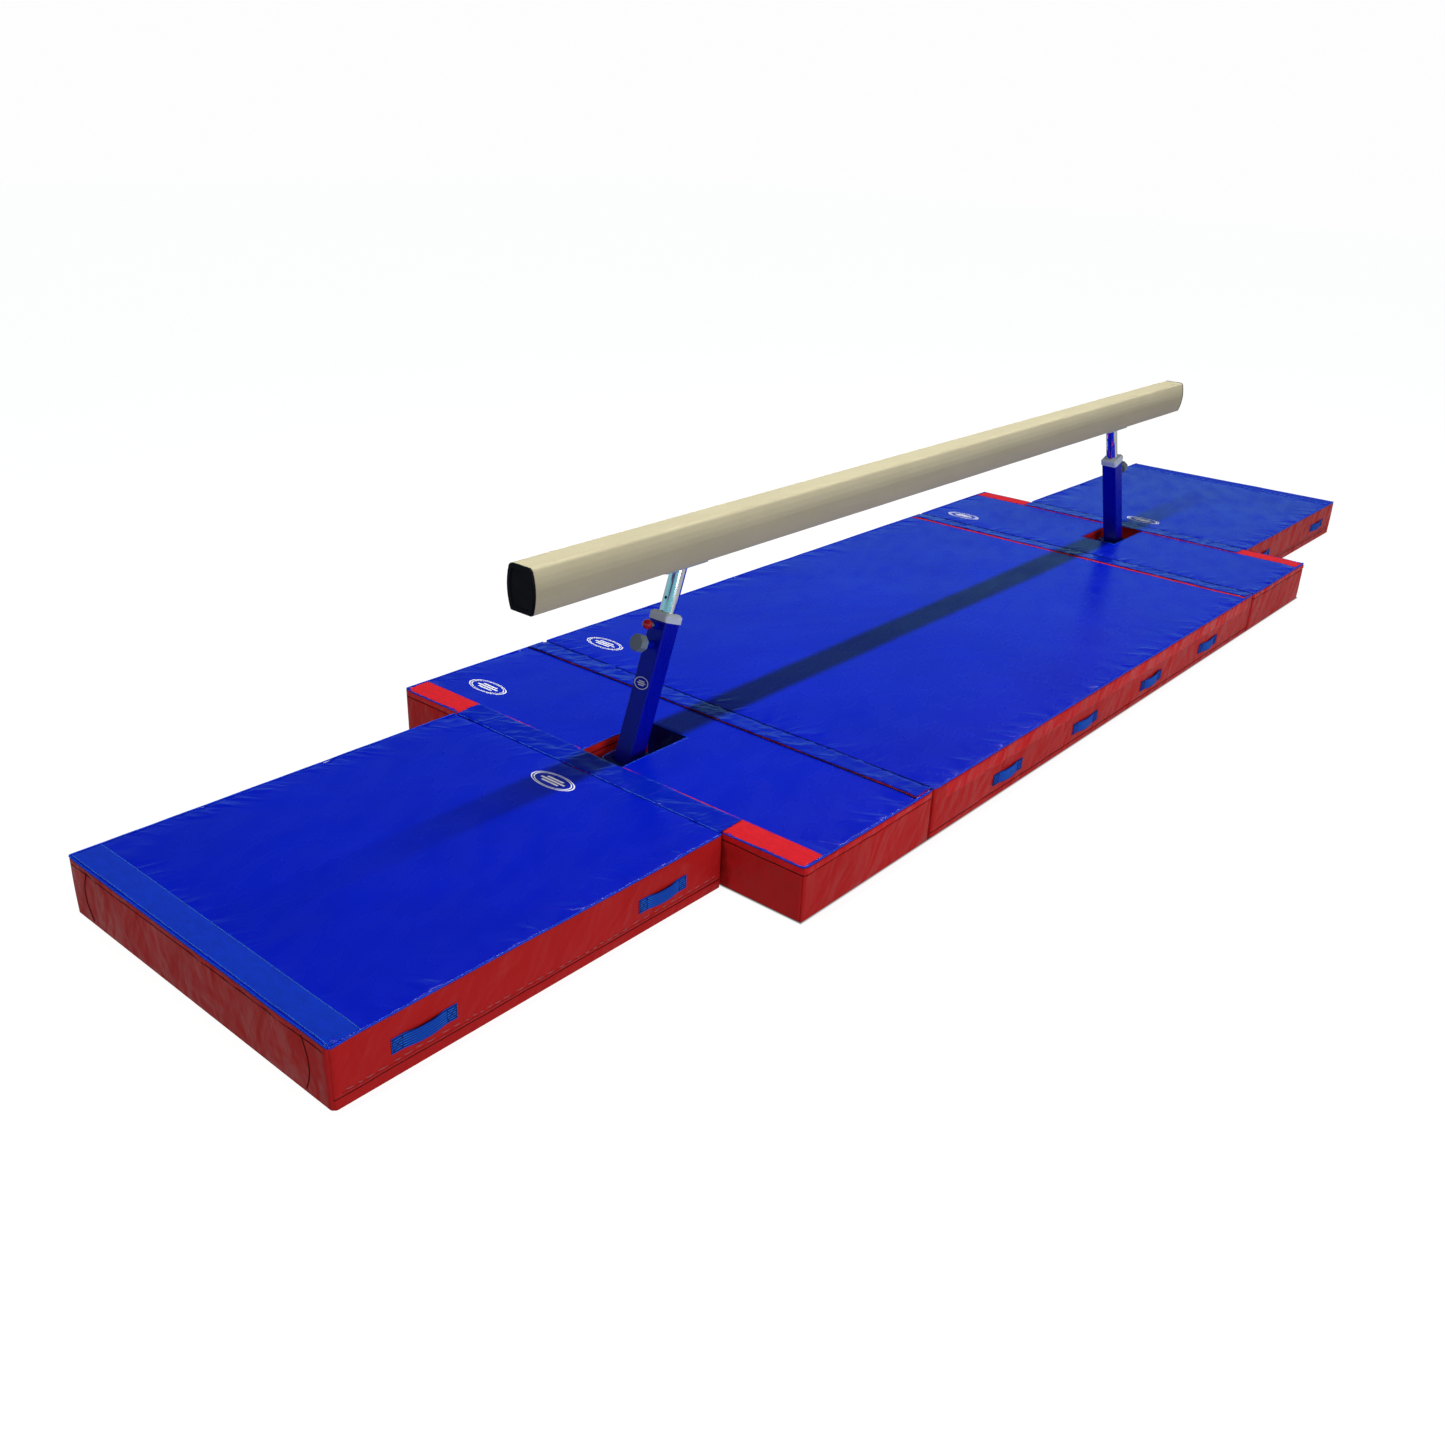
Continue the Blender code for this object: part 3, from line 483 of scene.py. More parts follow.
# painted highlight: the raised tucks are a paler red to stand for the light they catch
tuckHighlightRed = sewingThread("tuckHighlightVinyl", (0.56, 0.10, 0.12))
threadDark = sewingThread("navyThread", (0.002, 0.012, 0.16))
threadRed = sewingThread("redThread", (0.28, 0.012, 0.014))
beamSuede = suedeCover("beigeSuede", (0.53, 0.485, 0.325))
# painted shade: dark red for the shade in the low grooves along the end and middle mats' sides
lowGrooveShade = coverVinyl("lowGrooveShadeVinyl", (0.13, 0.006, 0.008), crease=0.3, roughness=(0.5, 0.6), specular=0.05)
printWhite = whitePrint("whitePrint")
cadFinishes = {
    "end_cap": mouldedPlastic("blackCapPlastic", (0.0025, 0.003, 0.005), 0.5, specular=0.08),
    "foot_cap": mouldedPlastic("blackFootCap", (0.014, 0.015, 0.018), 0.5),
    "collar": mouldedPlastic("greyCollar", (0.68, 0.77, 0.83), 0.42),
    "clamp_knob": mouldedPlastic("greyKnob", (0.20, 0.26, 0.29), 0.48, 0.0003),
    "clamp_pad": mouldedPlastic("nylonPad", (0.70, 0.70, 0.66), 0.5),
    "guide_bush": mouldedPlastic("nylonBush", (0.72, 0.72, 0.68), 0.5),
    "plunger_ball": mouldedPlastic("redBall", (0.50, 0.006, 0.010), 0.16, 0.00003, 0.6),
    "outer_tube": legPaint("bluePowderCoat", (0.0, 0.004, 0.46)),
    "plunger_boss": legPaint("blueBossCoat", (0.0, 0.006, 0.40)),
    "clamp_boss": legPaint("blueClampBossCoat", (0.0, 0.006, 0.40)),
    "foot_bar": legPaint("blueFootCoat", (0.0, 0.007, 0.30)),
    "foot_socket": coverVinyl("bluePaddedSleeve", (0.0, 0.006, 0.16), crease=0.5),
    "inner_tube": polishedChrome("chrome"),
    "mount_plate": zincCoated("galvanisedPlate", (0.56, 0.57, 0.58), 0.42, 160),
    "backing_plate": zincCoated("zincBackingPlate", (0.55, 0.56, 0.58), 0.38, 300),
    "bolt": zincCoated("zincBolt", (0.60, 0.61, 0.63), 0.3, 500),
    "washer": zincCoated("zincWasher", (0.58, 0.59, 0.60), 0.32, 500),
    "plunger_pin": zincCoated("zincPin", (0.58, 0.60, 0.64), 0.3, 500),
    "clamp_screw": zincCoated("zincScrew", (0.56, 0.57, 0.60), 0.32, 500),
    "rubber_foot": rubberPad("blackRubber"),
    "beam_extrusion": zincCoated("bareAluminium", (0.68, 0.69, 0.71), 0.38, 60),
}
print("materials:", len(bpy.data.materials))

# mesh helpers


def meshPiece(name, points, faces, materials, kinds=None, sharp=40):
    mesh = bpy.data.meshes.new(name)
    mesh.from_pydata(np.asarray(points).tolist(), [], [list(map(int, f)) for f in faces])
    for material in materials:
        mesh.materials.append(material)
    if kinds is not None:
        mesh.polygons.foreach_set("material_index", np.asarray(kinds, np.int32))
    mesh.shade_smooth()
    mesh.set_sharp_from_angle(angle=math.radians(sharp))
    mesh.update()
    return linkObject(bpy.data.objects.new(name, mesh))


def attach(piece, owner):
    # sewn to another piece, so it goes wherever that one goes
    piece.parent = owner
    piece.matrix_parent_inverse = owner.matrix_world.inverted()
    return piece


def gridLines(low, high, step, extra=(), near=(0.0015, 0.004, 0.008, 0.014, 0.022)):
    # lines from low to high, closer together beside the ends and beside each extra line
    stops = [low, *sorted(extra), high]
    lines = set()
    for a, b in zip(stops, stops[1:]):
        lines |= {a, b}
        if b - a > 3 * near[-1]:
            lines |= {a + n for n in near} | {b - n for n in near}
            count = max(1, round((b - a - 2 * near[-1]) / step))
            lines |= set(np.linspace(a + near[-1], b - near[-1], count + 1).tolist())
        else:
            lines |= set(np.linspace(a, b, 4).tolist())
    ordered = sorted(lines)
    kept = [ordered[0]] + [b for a, b in zip(ordered, ordered[1:]) if b - a > 2e-4]
    return np.array(kept)


def boxSkin(xs, ys, zs, filled):
    # the outside of all grid cells that filled(x, y, z) keeps: points, quads and each quad's side
    middles = [(a[1:] + a[:-1]) / 2 for a in (xs, ys, zs)]
    inside = np.pad(filled(*np.meshgrid(*middles, indexing="ij")), 1)
    quads, sides = [], []
    for axis in range(3):
        u, v = (axis + 1) % 3, (axis + 2) % 3
        for way in (1, -1):
            base = np.argwhere(inside & ~np.roll(inside, -way, axis)) - 1
            base[:, axis] += way > 0
            ring = ((0, 0), (1, 0), (1, 1), (0, 1))
            corners = []
            for du, dv in ring if way > 0 else ring[::-1]:
                corner = base.copy()
                corner[:, u] += du
                corner[:, v] += dv
                corners.append(corner)
            quads.append(np.stack(corners, 1))
            sides.append(np.full(len(base), way * (axis + 1)))
    quads = np.concatenate(quads)
    flat = quads.reshape(-1, 3)
    keys = (flat[:, 0] * len(ys) + flat[:, 1]) * len(zs) + flat[:, 2]
    _, first, back = np.unique(keys, return_index=True, return_inverse=True)
    nodes = flat[first]
    points = np.column_stack((xs[nodes[:, 0]], ys[nodes[:, 1]], zs[nodes[:, 2]]))
    return points, back.reshape(-1, 4), np.concatenate(sides)


def smooth(t):
    t = np.clip(t, 0, 1)
    return t * t * (3 - 2 * t)


def tubes(name, paths, radius, material, sides=5, wobble=0.0, pitch=0.006, bulge=False):
    # round cords along lists of points; wobble swells them in beads like a row of stitches
    points, faces = [], []
    for path in paths:
        path = np.asarray(path, float)
        runs = np.linalg.norm(np.diff(path, axis=0), axis=1)
        travel = np.concatenate(([0], np.cumsum(runs)))
        forward = np.gradient(path, axis=0)
        forward /= np.linalg.norm(forward, axis=1)[:, None] + 1e-12
        across = np.cross(forward, (0.13, 0.21, 0.97))
        across /= np.linalg.norm(across, axis=1)[:, None] + 1e-12
        up = np.cross(across, forward)
        start = len(points)
        for i, centre in enumerate(path):
            size = radius * (1 + wobble * math.cos(2 * math.pi * travel[i] / pitch))
            if bulge:
                size *= 0.25 + 0.75 * math.sin(math.pi * travel[i] / travel[-1])
            for k in range(sides):
                a = 2 * math.pi * k / sides
                points.append(centre + size * (math.cos(a) * across[i] + math.sin(a) * up[i]))
        for i in range(len(path) - 1):
            for k in range(sides):
                a, b = start + i * sides + k, start + i * sides + (k + 1) % sides
                faces.append((a, b, b + sides, a + sides))
        faces.append(tuple(range(start + sides - 1, start - 1, -1)))
        last = start + (len(path) - 1) * sides
        faces.append(tuple(range(last, last + sides)))
    return meshPiece(name, points, faces, [material], sharp=70)


# wrinkles in the covers


class Strokes:
    # short ridges and valleys, each running from a seam or lying free on the cover

    def __init__(self, seed):
        self.random = np.random.default_rng(seed)
        self.rows = []

    def alongSeam(self, start, end, inward, spacing, length, height, width, lean=0.45):
        start, end, inward = (np.array(v, float) for v in (start, end, inward))
        run = np.linalg.norm(end - start)
        along = (end - start) / run
        count = max(2, int(run / spacing))
        for _ in range(count):
            place = start + along * self.random.uniform(0, run)
            angle = self.random.normal(0, lean)
            direction = inward * math.cos(angle) + along * math.sin(angle)
            long = length * self.random.lognormal(-0.15, 0.55)
            high = height * self.random.lognormal(-0.2, 0.45) * self.random.choice((1, -1, -1))
            wide = width * self.random.uniform(0.7, 1.5)
            self.rows.append((place, direction, long, high, wide, 0.0))
        return self

    def free(self, low, high, count, length, height, width, heading=0.0, lean=0.5):
        for _ in range(count):
            place = self.random.uniform(low, high)
            angle = heading + self.random.normal(0, lean)
            direction = np.array((math.cos(angle), math.sin(angle)))
            long = length * self.random.lognormal(0, 0.4)
            tall = height * self.random.lognormal(-0.2, 0.4) * self.random.choice((1, -1))
            self.rows.append((place, direction, long, tall, width * self.random.uniform(0.7, 1.6), 1.0))
        return self

    def heights(self, u, v):
        total = np.zeros(len(u))
        for place, direction, long, high, wide, loose in self.rows:
            du, dv = u - place[0], v - place[1]
            reach = 2.6 * long + 3 * wide
            near = np.flatnonzero((np.abs(du) < reach) & (np.abs(dv) < reach))
            if not len(near):
                continue
            du, dv = du[near], dv[near]
            ahead = du * direction[0] + dv * direction[1]
            aside = dv * direction[0] - du * direction[1]
            if loose:
                fade = np.exp(-((ahead / long) ** 2))
                bend = aside - 0.12 * ahead * ahead / long
            else:
                fade = np.where(ahead > 0, 1 - np.exp(-np.maximum(ahead, 0) / 0.006), 0)
                fade = fade * np.exp(-((np.maximum(ahead, 0) / long) ** 2))
                bend = aside
            spread = wide * (1 + 0.8 * np.abs(ahead) / long)
            total[near] += high * fade * np.exp(-((bend / spread) ** 2))
        return total


def swell(u, v, seed, height, longest=1.3, shortest=0.35, count=9):
    # slow rise and fall of foam under the cover
    random = np.random.default_rng(seed)
    total = np.zeros(len(u))
    for _ in range(count):
        size = random.uniform(shortest, longest)
        angle = random.uniform(0, math.pi)
        wave = (u * math.cos(angle) + v * math.sin(angle)) / size + random.uniform(0, 1)
        total += np.sin(2 * math.pi * wave) * size / longest
    return height * total / math.sqrt(count)


# mats

matLook = {
    "step": 0.0145,  # grid of the cover
    "sideStep": 0.016,
    "cornerRadius": 0.016,
    "edgeRadius": 0.009,
    "drop": 0.0012,  # top of the cover below the CAD box, so flaps lie clear
    "swell": 0.0011,
    "pucker": 0.0024,
    "puckerLength": 0.060,
    "puckerWidth": 0.014,
    "sidePucker": 0.0016,
    "creaseReach": 0.085,
}

# each mat's seams: bands that stand proud of the side and grooves, as heights above the floor
mats = {
    "nearEndMat": {
        "node": "mat_near_end", "body": "near_end_mat", "seed": 11, "way": -1,
        "band": None, "grooves": {"y": (0.032,)}, "slot": False,
    },
    "nearLegMat": {
        "node": "mat_near_leg", "body": "mats", "seed": 23, "way": -1,
        "band": (0.172, 0.196, 0), "grooves": {"x": (0.168,), "y": (0.168,)}, "slot": True,
    },
    "middleMat": {
        "node": "mat_middle", "body": "mats", "seed": 37, "way": 0,
        "band": (0.138, 0.194, 1.425), "grooves": {"y": (0.020,)}, "slot": False,
    },
    "farLegMat": {
        "node": "mat_far_leg", "body": "mats", "seed": 41, "way": 1,
        "band": (0.172, 0.196, 0), "grooves": {"x": (0.168,), "y": (0.168,)}, "slot": True,
    },
    "farEndMat": {
        "node": "mat_far_end", "body": "far_end_mat", "seed": 59, "way": 1,
        "band": None, "grooves": {"y": (0.032,)}, "slot": False,
    },
}


def innerBoxes(node):
    # the slot and the foot recess, read off the CAD solid's own corners
    corners = np.array([v.co for v in frame["nodes"][node].data.vertices])
    low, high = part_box(node)
    out = 1 if high.x > 0 else -1
    edge = 0.02
    mid = corners[(np.abs(corners[:, 1]) < high.y - edge)]
    slotHalf = np.abs(mid[mid[:, 2] > high.z - edge][:, 1]).min()
    inSlot = mid[(mid[:, 2] > high.z - edge) & (np.abs(mid[:, 1]) < slotHalf + edge)]
    slotInner = np.abs(inSlot[:, 0]).min()
    under = mid[(mid[:, 2] > edge) & (mid[:, 2] < high.z - edge)]
    return {
        "out": out,
        "slotHalf": float(slotHalf),
        "slotInner": float(slotInner),
        "recessTop": float(under[:, 2].max()),
        "recessHalf": float(np.abs(under[:, 1]).max()),
        "recessInner": float(np.abs(under[:, 0]).min()),
    }


def roundEdges(points, low, high, radius, axes):
    # pulls the edges of a box in onto a round of this radius
    inner = points.copy()
    for axis in axes:
        inner[:, axis] = np.clip(points[:, axis], low[axis] + radius, high[axis] - radius)
    away = points - inner
    most = np.abs(away).max(1)
    long = np.linalg.norm(away, axis=1)
    factor = np.where(long > 1e-9, most / np.maximum(long, 1e-9), 1)
    return inner + away * factor[:, None]


def sideRelief(mat, along, z, side, low, high):
    # how far the side of a cover stands out at each point
    look = matLook
    top = high[2]
    out = 0.0016 * np.sin(np.pi * np.clip(z / top, 0, 1))
    band = mat["band"]
    axisName = "x" if abs(side) == 1 else "y"
    banded = band and (axisName == "y" or mat["slot"])
    start, end = (low[1], high[1]) if axisName == "x" else (low[0], high[0])
    strokes = Strokes(mat["seed"] * 7 + side + 5)
    if banded:
        inBand = smooth((z - band[0] + 0.003) / 0.004) * smooth((band[1] + 0.003 - z) / 0.004)
        if mat["band"][2]:
            inBand *= smooth((mat["band"][2] - np.abs(along)) / 0.003)
        out += inBand * 0.0024
        seamTop = band[0]
    else:
        seamTop = top - 0.004
    lean = 0.5
    strokes.alongSeam((start, seamTop), (end, seamTop), (0, -1), 0.075, 0.06, look["sidePucker"], 0.014, lean)
    strokes.alongSeam((start, 0.0), (end, 0.0), (0, 1), 0.09, 0.045, look["sidePucker"] * 0.7, 0.014, lean)
    strokes.free((start, 0.03), (end, top - 0.03), int((end - start) / 0.13), 0.10, 0.0018, 0.020, 1.0, 0.4)
    for height in mat["grooves"].get(axisName, ()):
        near = np.abs(z - height)
        out -= 0.0032 * np.exp(-((near / 0.0022) ** 2))
    corner = smooth(np.minimum(along - start, end - along) / 0.035)
    floor = smooth(z / 0.02)
    return out * floor * smooth(corner * 3) + strokes.heights(along, z) * corner * floor


def buildMat(name):
    mat, look = mats[name], matLook
    low, high = (np.array(c, float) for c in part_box(mat["node"]))
    hollow = innerBoxes(mat["node"]) if mat["slot"] else None
    xCuts, yCuts, zCuts = [], [], []
    if hollow:
        out = hollow["out"]
        xCuts = [out * hollow["slotInner"], out * hollow["recessInner"]]
        yCuts = [s * hollow[k] for k in ("slotHalf", "recessHalf") for s in (1, -1)]
        zCuts = [hollow["recessTop"]]
    xs = gridLines(low[0], high[0], look["step"], xCuts)
    ys = gridLines(low[1], high[1], look["step"], yCuts)
    heights = {0.0, 0.004, 0.009, *zCuts, 0.2 - 0.0015, 0.2 - 0.004, 0.2 - 0.0065, 0.2 - 0.009}
    heights |= set(np.arange(0.016, 0.19, look["sideStep"]).round(4).tolist()) | {0.2}
    for grooves in mat["grooves"].values():
        for g in grooves:
            heights |= {g - 0.0045, g - 0.002, g, g + 0.002, g + 0.0045}
    if mat["band"]:
        heights |= {mat["band"][0] - 0.002, mat["band"][0] + 0.001, mat["band"][1]}
    ordered = sorted(heights)
    zs = [ordered[0]]
    for value in ordered[1:]:
        if value - zs[-1] > 0.0009:
            zs.append(value)
    zs = np.array(zs) * (high[2] / 0.2)

    def filled(x, y, z):
        keep = np.ones(x.shape, bool)
        if hollow:
            far = hollow["out"] * x
            keep &= ~((far > hollow["slotInner"]) & (np.abs(y) < hollow["slotHalf"]))
            under = (far > hollow["recessInner"]) & (np.abs(y) < hollow["recessHalf"])
            keep &= ~(under & (z < hollow["recessTop"]))
        return keep

    points, quads, sides = boxSkin(xs, ys, zs, filled)
    flat = points.copy()
    centres = flat[quads].mean(1)

    # rounded corners in plan, then a rounded top edge
    points = roundEdges(points, low, high, look["cornerRadius"], (0, 1))
    edge = look["edgeRadius"]
    inner = points.copy()
    for axis in (0, 1):
        inner[:, axis] = np.clip(points[:, axis], low[axis] + edge, high[axis] - edge)
    inner[:, 2] = np.minimum(points[:, 2], high[2] - edge)
    if hollow:
        out, wall = hollow["out"], hollow["slotInner"]
        nearestX = np.maximum(out * points[:, 0], wall) * out
        nearestY = np.clip(points[:, 1], -hollow["slotHalf"], hollow["slotHalf"])
        gap = np.column_stack((points[:, 0] - nearestX, points[:, 1] - nearestY))
        distance = np.linalg.norm(gap, axis=1)
        beside = (distance < edge) & (points[:, 2] > high[2] - edge)
        wayOut = np.where(np.abs(points[:, 1]) >= hollow["slotHalf"] - 1e-6, 1, 0)
        turn = np.column_stack((np.where(wayOut, 0, -out), np.sign(points[:, 1]) * wayOut))
        unit = np.where(distance[:, None] > 1e-6, gap / np.maximum(distance, 1e-6)[:, None], turn)
        for axis in (0, 1):
            moved = (nearestX, nearestY)[axis] + unit[:, axis] * edge
            inner[beside, axis] = moved[beside]
    away = points - inner
    away[:, 2] = np.maximum(away[:, 2], 0)
    most, long = np.abs(away).max(1), np.linalg.norm(away, axis=1)
    factor = np.where(long > 1e-9, most / np.maximum(long, 1e-9), 1)
    points = inner + away * factor[:, None]

    # top: foam swell, puckers along the seams and a few long folds
    x, y, z = flat.T
    strokes = Strokes(mat["seed"])
    wide, deep = high[0] - low[0], high[1] - low[1]
    pucker, reach, narrow = look["pucker"], look["puckerLength"], look["puckerWidth"]
    for y0, inward in ((low[1], 1), (high[1], -1)):
        strokes.alongSeam((low[0], y0), (high[0], y0), (0, inward), 0.055, reach, pucker, narrow)
    for x0, inward in ((low[0], 1), (high[0], -1)):
        strokes.alongSeam((x0, low[1]), (x0, high[1]), (inward, 0), 0.070, reach * 0.8, pucker * 0.8, narrow)
    outer = high[0] if mat["way"] >= 0 else low[0]
    if mat["way"] and not mat["slot"]:
        seam = outer - mat["way"] * 0.108
        strokes.alongSeam((seam, low[1]), (seam, high[1]), (-mat["way"], 0), 0.09, 0.07, 0.0018, 0.015)
    strokes.free(low[:2] + 0.2, high[:2] - 0.2, int(wide * deep * 2.5), 0.38, 0.0008, 0.045, 0.2, 0.5)
    relief = strokes.heights(x, y) + swell(x, y, mat["seed"], look["swell"])
    border = np.minimum.reduce([x - low[0], high[0] - x, y - low[1], high[1] - y])
    crown = -0.0022 * np.exp(-np.maximum(border, 0) / 0.03)
    relief = np.where(relief > 0, 0.0016 * np.tanh(relief / 0.0016), np.maximum(relief, -0.006))
    onTop = smooth((z - (high[2] - 0.03)) / 0.03)
    points[:, 2] += (relief + crown - look["drop"]) * onTop

    # sides
    for axis in (0, 1):
        for end, way in ((low[axis], -1), (high[axis], 1)):
            on = np.abs(flat[:, axis] - end) < 1e-6
            along = flat[on][:, 1 - axis]
            side = way * (axis + 1)
            amount = sideRelief(mat, along, flat[on][:, 2], side, low, high)
            facing = axis == 0 and not (mat["way"] == way and not mat["slot"])
            points[on, axis] += way * (np.minimum(amount, 0.0008) - 0.0038 if facing else amount)
    kinds = np.ones(len(quads), np.int32)
    kinds[sides == 3] = np.where(centres[sides == 3][:, 2] > high[2] - 0.001, 0, 3)
    kinds[sides == -3] = 3
    vertical = np.abs(sides) < 3
    if mat["band"]:
        bottom, _, reachX = mat["band"]
        inBand = vertical & (centres[:, 2] > bottom) & (centres[:, 2] < high[2] - 0.004)
        banded = np.abs(sides) == 2 if not mat["slot"] else vertical
        outerFace = np.abs(np.abs(centres[:, 1]) - high[1]) < 0.001
        if mat["slot"]:
            outerFace |= np.abs(np.abs(centres[:, 0]) - max(abs(low[0]), abs(high[0]))) < 0.001
        if reachX:
            outerFace &= np.abs(centres[:, 0]) < reachX
        kinds[inBand & banded & outerFace] = 2
    for axisName, axis in (("x", 1), ("y", 2)):
        for g in mat["grooves"].get(axisName, ()):
            # painted shade: groove faces take a dark finish that stands for the shade inside them
            kinds[(np.abs(sides) == axis) & (np.abs(centres[:, 2] - g) < 0.0016)] = 4
    # painted shade: the slot's inner end wall takes the dark navy
    if hollow:
        inner = np.abs(np.abs(centres[:, 0]) - hollow["slotInner"]) < 1e-5
        inner &= np.abs(centres[:, 1]) < hollow["slotHalf"]
        kinds[vertical & inner] = 5
    keep = ~((sides == -3) & (centres[:, 2] < 0.001))
    # painted shade: slot mats' grooves take the near-black red, the others the dark red
    grooveShade = seamShadeRed if mat["slot"] else lowGrooveShade
    finishes = [topBlue, sideRed, bandRed, baseDark, grooveShade, slotShadeBlue]
    piece = meshPiece(name, points, quads[keep], finishes, kinds[keep], 55)
    away = np.stack([x - low[0], high[0] - x, y - low[1], high[1] - y])
    nearX, nearY = np.exp(-((away / look["creaseReach"]) ** 2)).reshape(2, 2, -1).max(1)
    if mat["way"] and not mat["slot"]:
        past = mat["way"] * (seam - x)
        nearX = np.where(past > 0, 0.45 * np.exp(-((past / 0.06) ** 2)), 0) + 0.7 * np.exp(
            -(((mat["way"] * x - abs(low[0] if mat["way"] > 0 else high[0])) / 0.08) ** 2))
    inside = onTop * smooth(border / 0.024)  # none on the rounded edge itself
    for weight, values in (("creaseX", nearX * inside), ("creaseY", nearY * inside)):
        stored = piece.data.attributes.new(weight, "FLOAT", "POINT")
        stored.data.foreach_set("value", values.astype(np.float32))
    closeBottom(piece)
    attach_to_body(piece, mat["body"])
    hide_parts(mat["node"])
    mat.update(piece=piece, low=low, high=high, hollow=hollow, flat=flat, points=points)
    return piece


def closeBottom(piece):
    # one flat panel under the mat
    bm = bmesh.new()
    bm.from_mesh(piece.data)
    rim = [e for e in bm.edges if len(e.link_faces) == 1]
    made = bmesh.ops.holes_fill(bm, edges=rim, sides=0)
    for face in made["faces"]:
        face.material_index = 3
        face.smooth = False
    bmesh.ops.recalc_face_normals(bm, faces=made["faces"])
    bm.to_mesh(piece.data)
    bm.free()


for matName in mats:
    buildMat(matName)
print("mats:", len(mats))


# where covers lie


def surfaceTree(piece):
    return BVHTree.FromObject(piece, bpy.context.evaluated_depsgraph_get())


bpy.context.view_layer.update()
coverTrees = {name: surfaceTree(mat["piece"]) for name, mat in mats.items()}


def coverTop(x, y, name=None):
    # height of the mats' covers at a point of the plan
    for tree in [coverTrees[name]] if name else coverTrees.values():
        hit = tree.ray_cast(Vector((x, y, 0.4)), Vector((0, 0, -1)))[0]
        if hit is not None and hit.z > 0.15:
            return hit.z
    return None


def coverSide(name, x, z, way):
    # where the side of a mat's cover stands at a height
    hit = coverTrees[name].ray_cast(Vector((x, way * 1.4, z)), Vector((0, -way, 0)))[0]
    return hit.y if hit is not None else mats[name]["high"][1] * way


def laidSheet(name, xs, ys, heightAt, thick, materials, under=0, rimKind=0, sharp=50):
    # a closed, thin piece that follows heightAt(x, y), softer at its rim
    m, n = len(xs), len(ys)
    low = np.array([[heightAt(x, y) for y in ys] for x in xs])
    gx, gy = np.meshgrid(xs, ys, indexing="ij")
    rim = np.ones((m, n))
    rim[[0, -1], :] = 0.45
    rim[:, [0, -1]] = 0.45
    upper = np.column_stack((gx.ravel(), gy.ravel(), (low + thick * rim).ravel()))
    lower = np.column_stack((gx.ravel(), gy.ravel(), low.ravel()))
    points = np.concatenate((upper, lower))
    index = np.arange(m * n).reshape(m, n)
    a, b, c, d = index[:-1, :-1], index[1:, :-1], index[1:, 1:], index[:-1, 1:]
    top = np.stack((a, b, c, d), -1).reshape(-1, 4)
    faces = [top, top[:, ::-1] + m * n]
    loop = np.concatenate((index[:, 0], index[-1, 1:], index[-2::-1, -1], index[0, -2:0:-1]))
    after = np.roll(loop, -1)
    faces.append(np.stack((loop, loop + m * n, after + m * n, after), -1))
    kinds = np.zeros(sum(len(f) for f in faces), np.int32)
    kinds[len(top) : 2 * len(top)] = under
    kinds[2 * len(top) :] = rimKind
    return meshPiece(name, points, np.concatenate(faces), materials, kinds, sharp)


def weigh(piece, **weights):
    # the same crease weight all over a piece
    for name, value in weights.items():
        data = piece.data.attributes.new(name, "FLOAT", "POINT").data
        data.foreach_set("value", np.full(len(data), value, np.float32))


def eased(path, passes=6):
    # a line with its small ups and downs taken out
    path = np.array(path, float)
    for _ in range(passes):
        path[1:-1] = 0.25 * path[:-2] + 0.5 * path[1:-1] + 0.25 * path[2:]
    return path


# tapes, piping and seams

tapeLook = {"thick": 0.0011, "step": 0.02, "clear": 0.0001}
tapes = {
    # name: owner, x range, y range, finish
    "nearLegTapeRight": ("nearLegMat", (-2.243, -2.138), (-0.990, -0.108), loopRed),
    "nearLegTapeLeft": ("nearLegMat", (-2.243, -2.138), (0.108, 0.990), loopRed),
    "nearLegTapeInner": ("nearLegMat", (-1.5960, -1.508), (-0.990, 0.990), loopRed),
    "farLegTapeRight": ("farLegMat", (2.138, 2.243), (-0.990, -0.108), loopRed),
    "farLegTapeLeft": ("farLegMat", (2.138, 2.243), (0.108, 0.990), loopRed),
    "middleTape": ("middleMat", (1.394, 1.491), (-0.990, 0.990), loopRed),
    "nearEndTape": ("nearEndMat", (-3.742, -3.645), (-0.666, 0.666), loopBlue),
    "farEndTape": ("farEndMat", (3.645, 3.742), (-0.666, 0.666), loopBlue),
}


def buildTape(name, owner, xRange, yRange, finish):
    look = tapeLook
    xs = np.linspace(*xRange, 7)
    ys = np.linspace(*yRange, max(3, round((yRange[1] - yRange[0]) / look["step"])))
    piece = laidSheet(
        name, xs, ys, lambda x, y: coverTop(x, y, owner) + look["clear"], look["thick"], [finish]
    )
    attach(piece, mats[owner]["piece"])
    flapped = finish is loopRed  # a flap lies on it, so its stitches are sunk in
    for x in (xRange[0] + 0.003, xRange[1] - 0.003):
        seam = stitchAndShadeRow(f"{name}Stitch{'In' if abs(x) < abs(sum(xRange) / 2) else 'Out'}",
                         owner, x, yRange[0] + 0.004, yRange[1] - 0.004,
                         threadRed if flapped else threadBlue,
                         look["thick"] - (0.0007 if flapped else 0), 0.0006 if flapped else 0.0012)
        attach(seam, mats[owner]["piece"])


# a beaded cord along a line of the cover: the tapes' real stitches, and the painted shadow line at the middle
# flap's edge
def stitchAndShadeRow(name, owner, x, y0, y1, thread, lift=0.0, radius=0.0012):
    count = int((y1 - y0) / 0.003)
    ys = np.linspace(y0, y1, count)
    path = eased([(x, y, coverTop(x, y, owner) + lift + 0.0002) for y in ys], 4)
    return tubes(name, [path], radius, thread, sides=4, wobble=0.55, pitch=0.009)


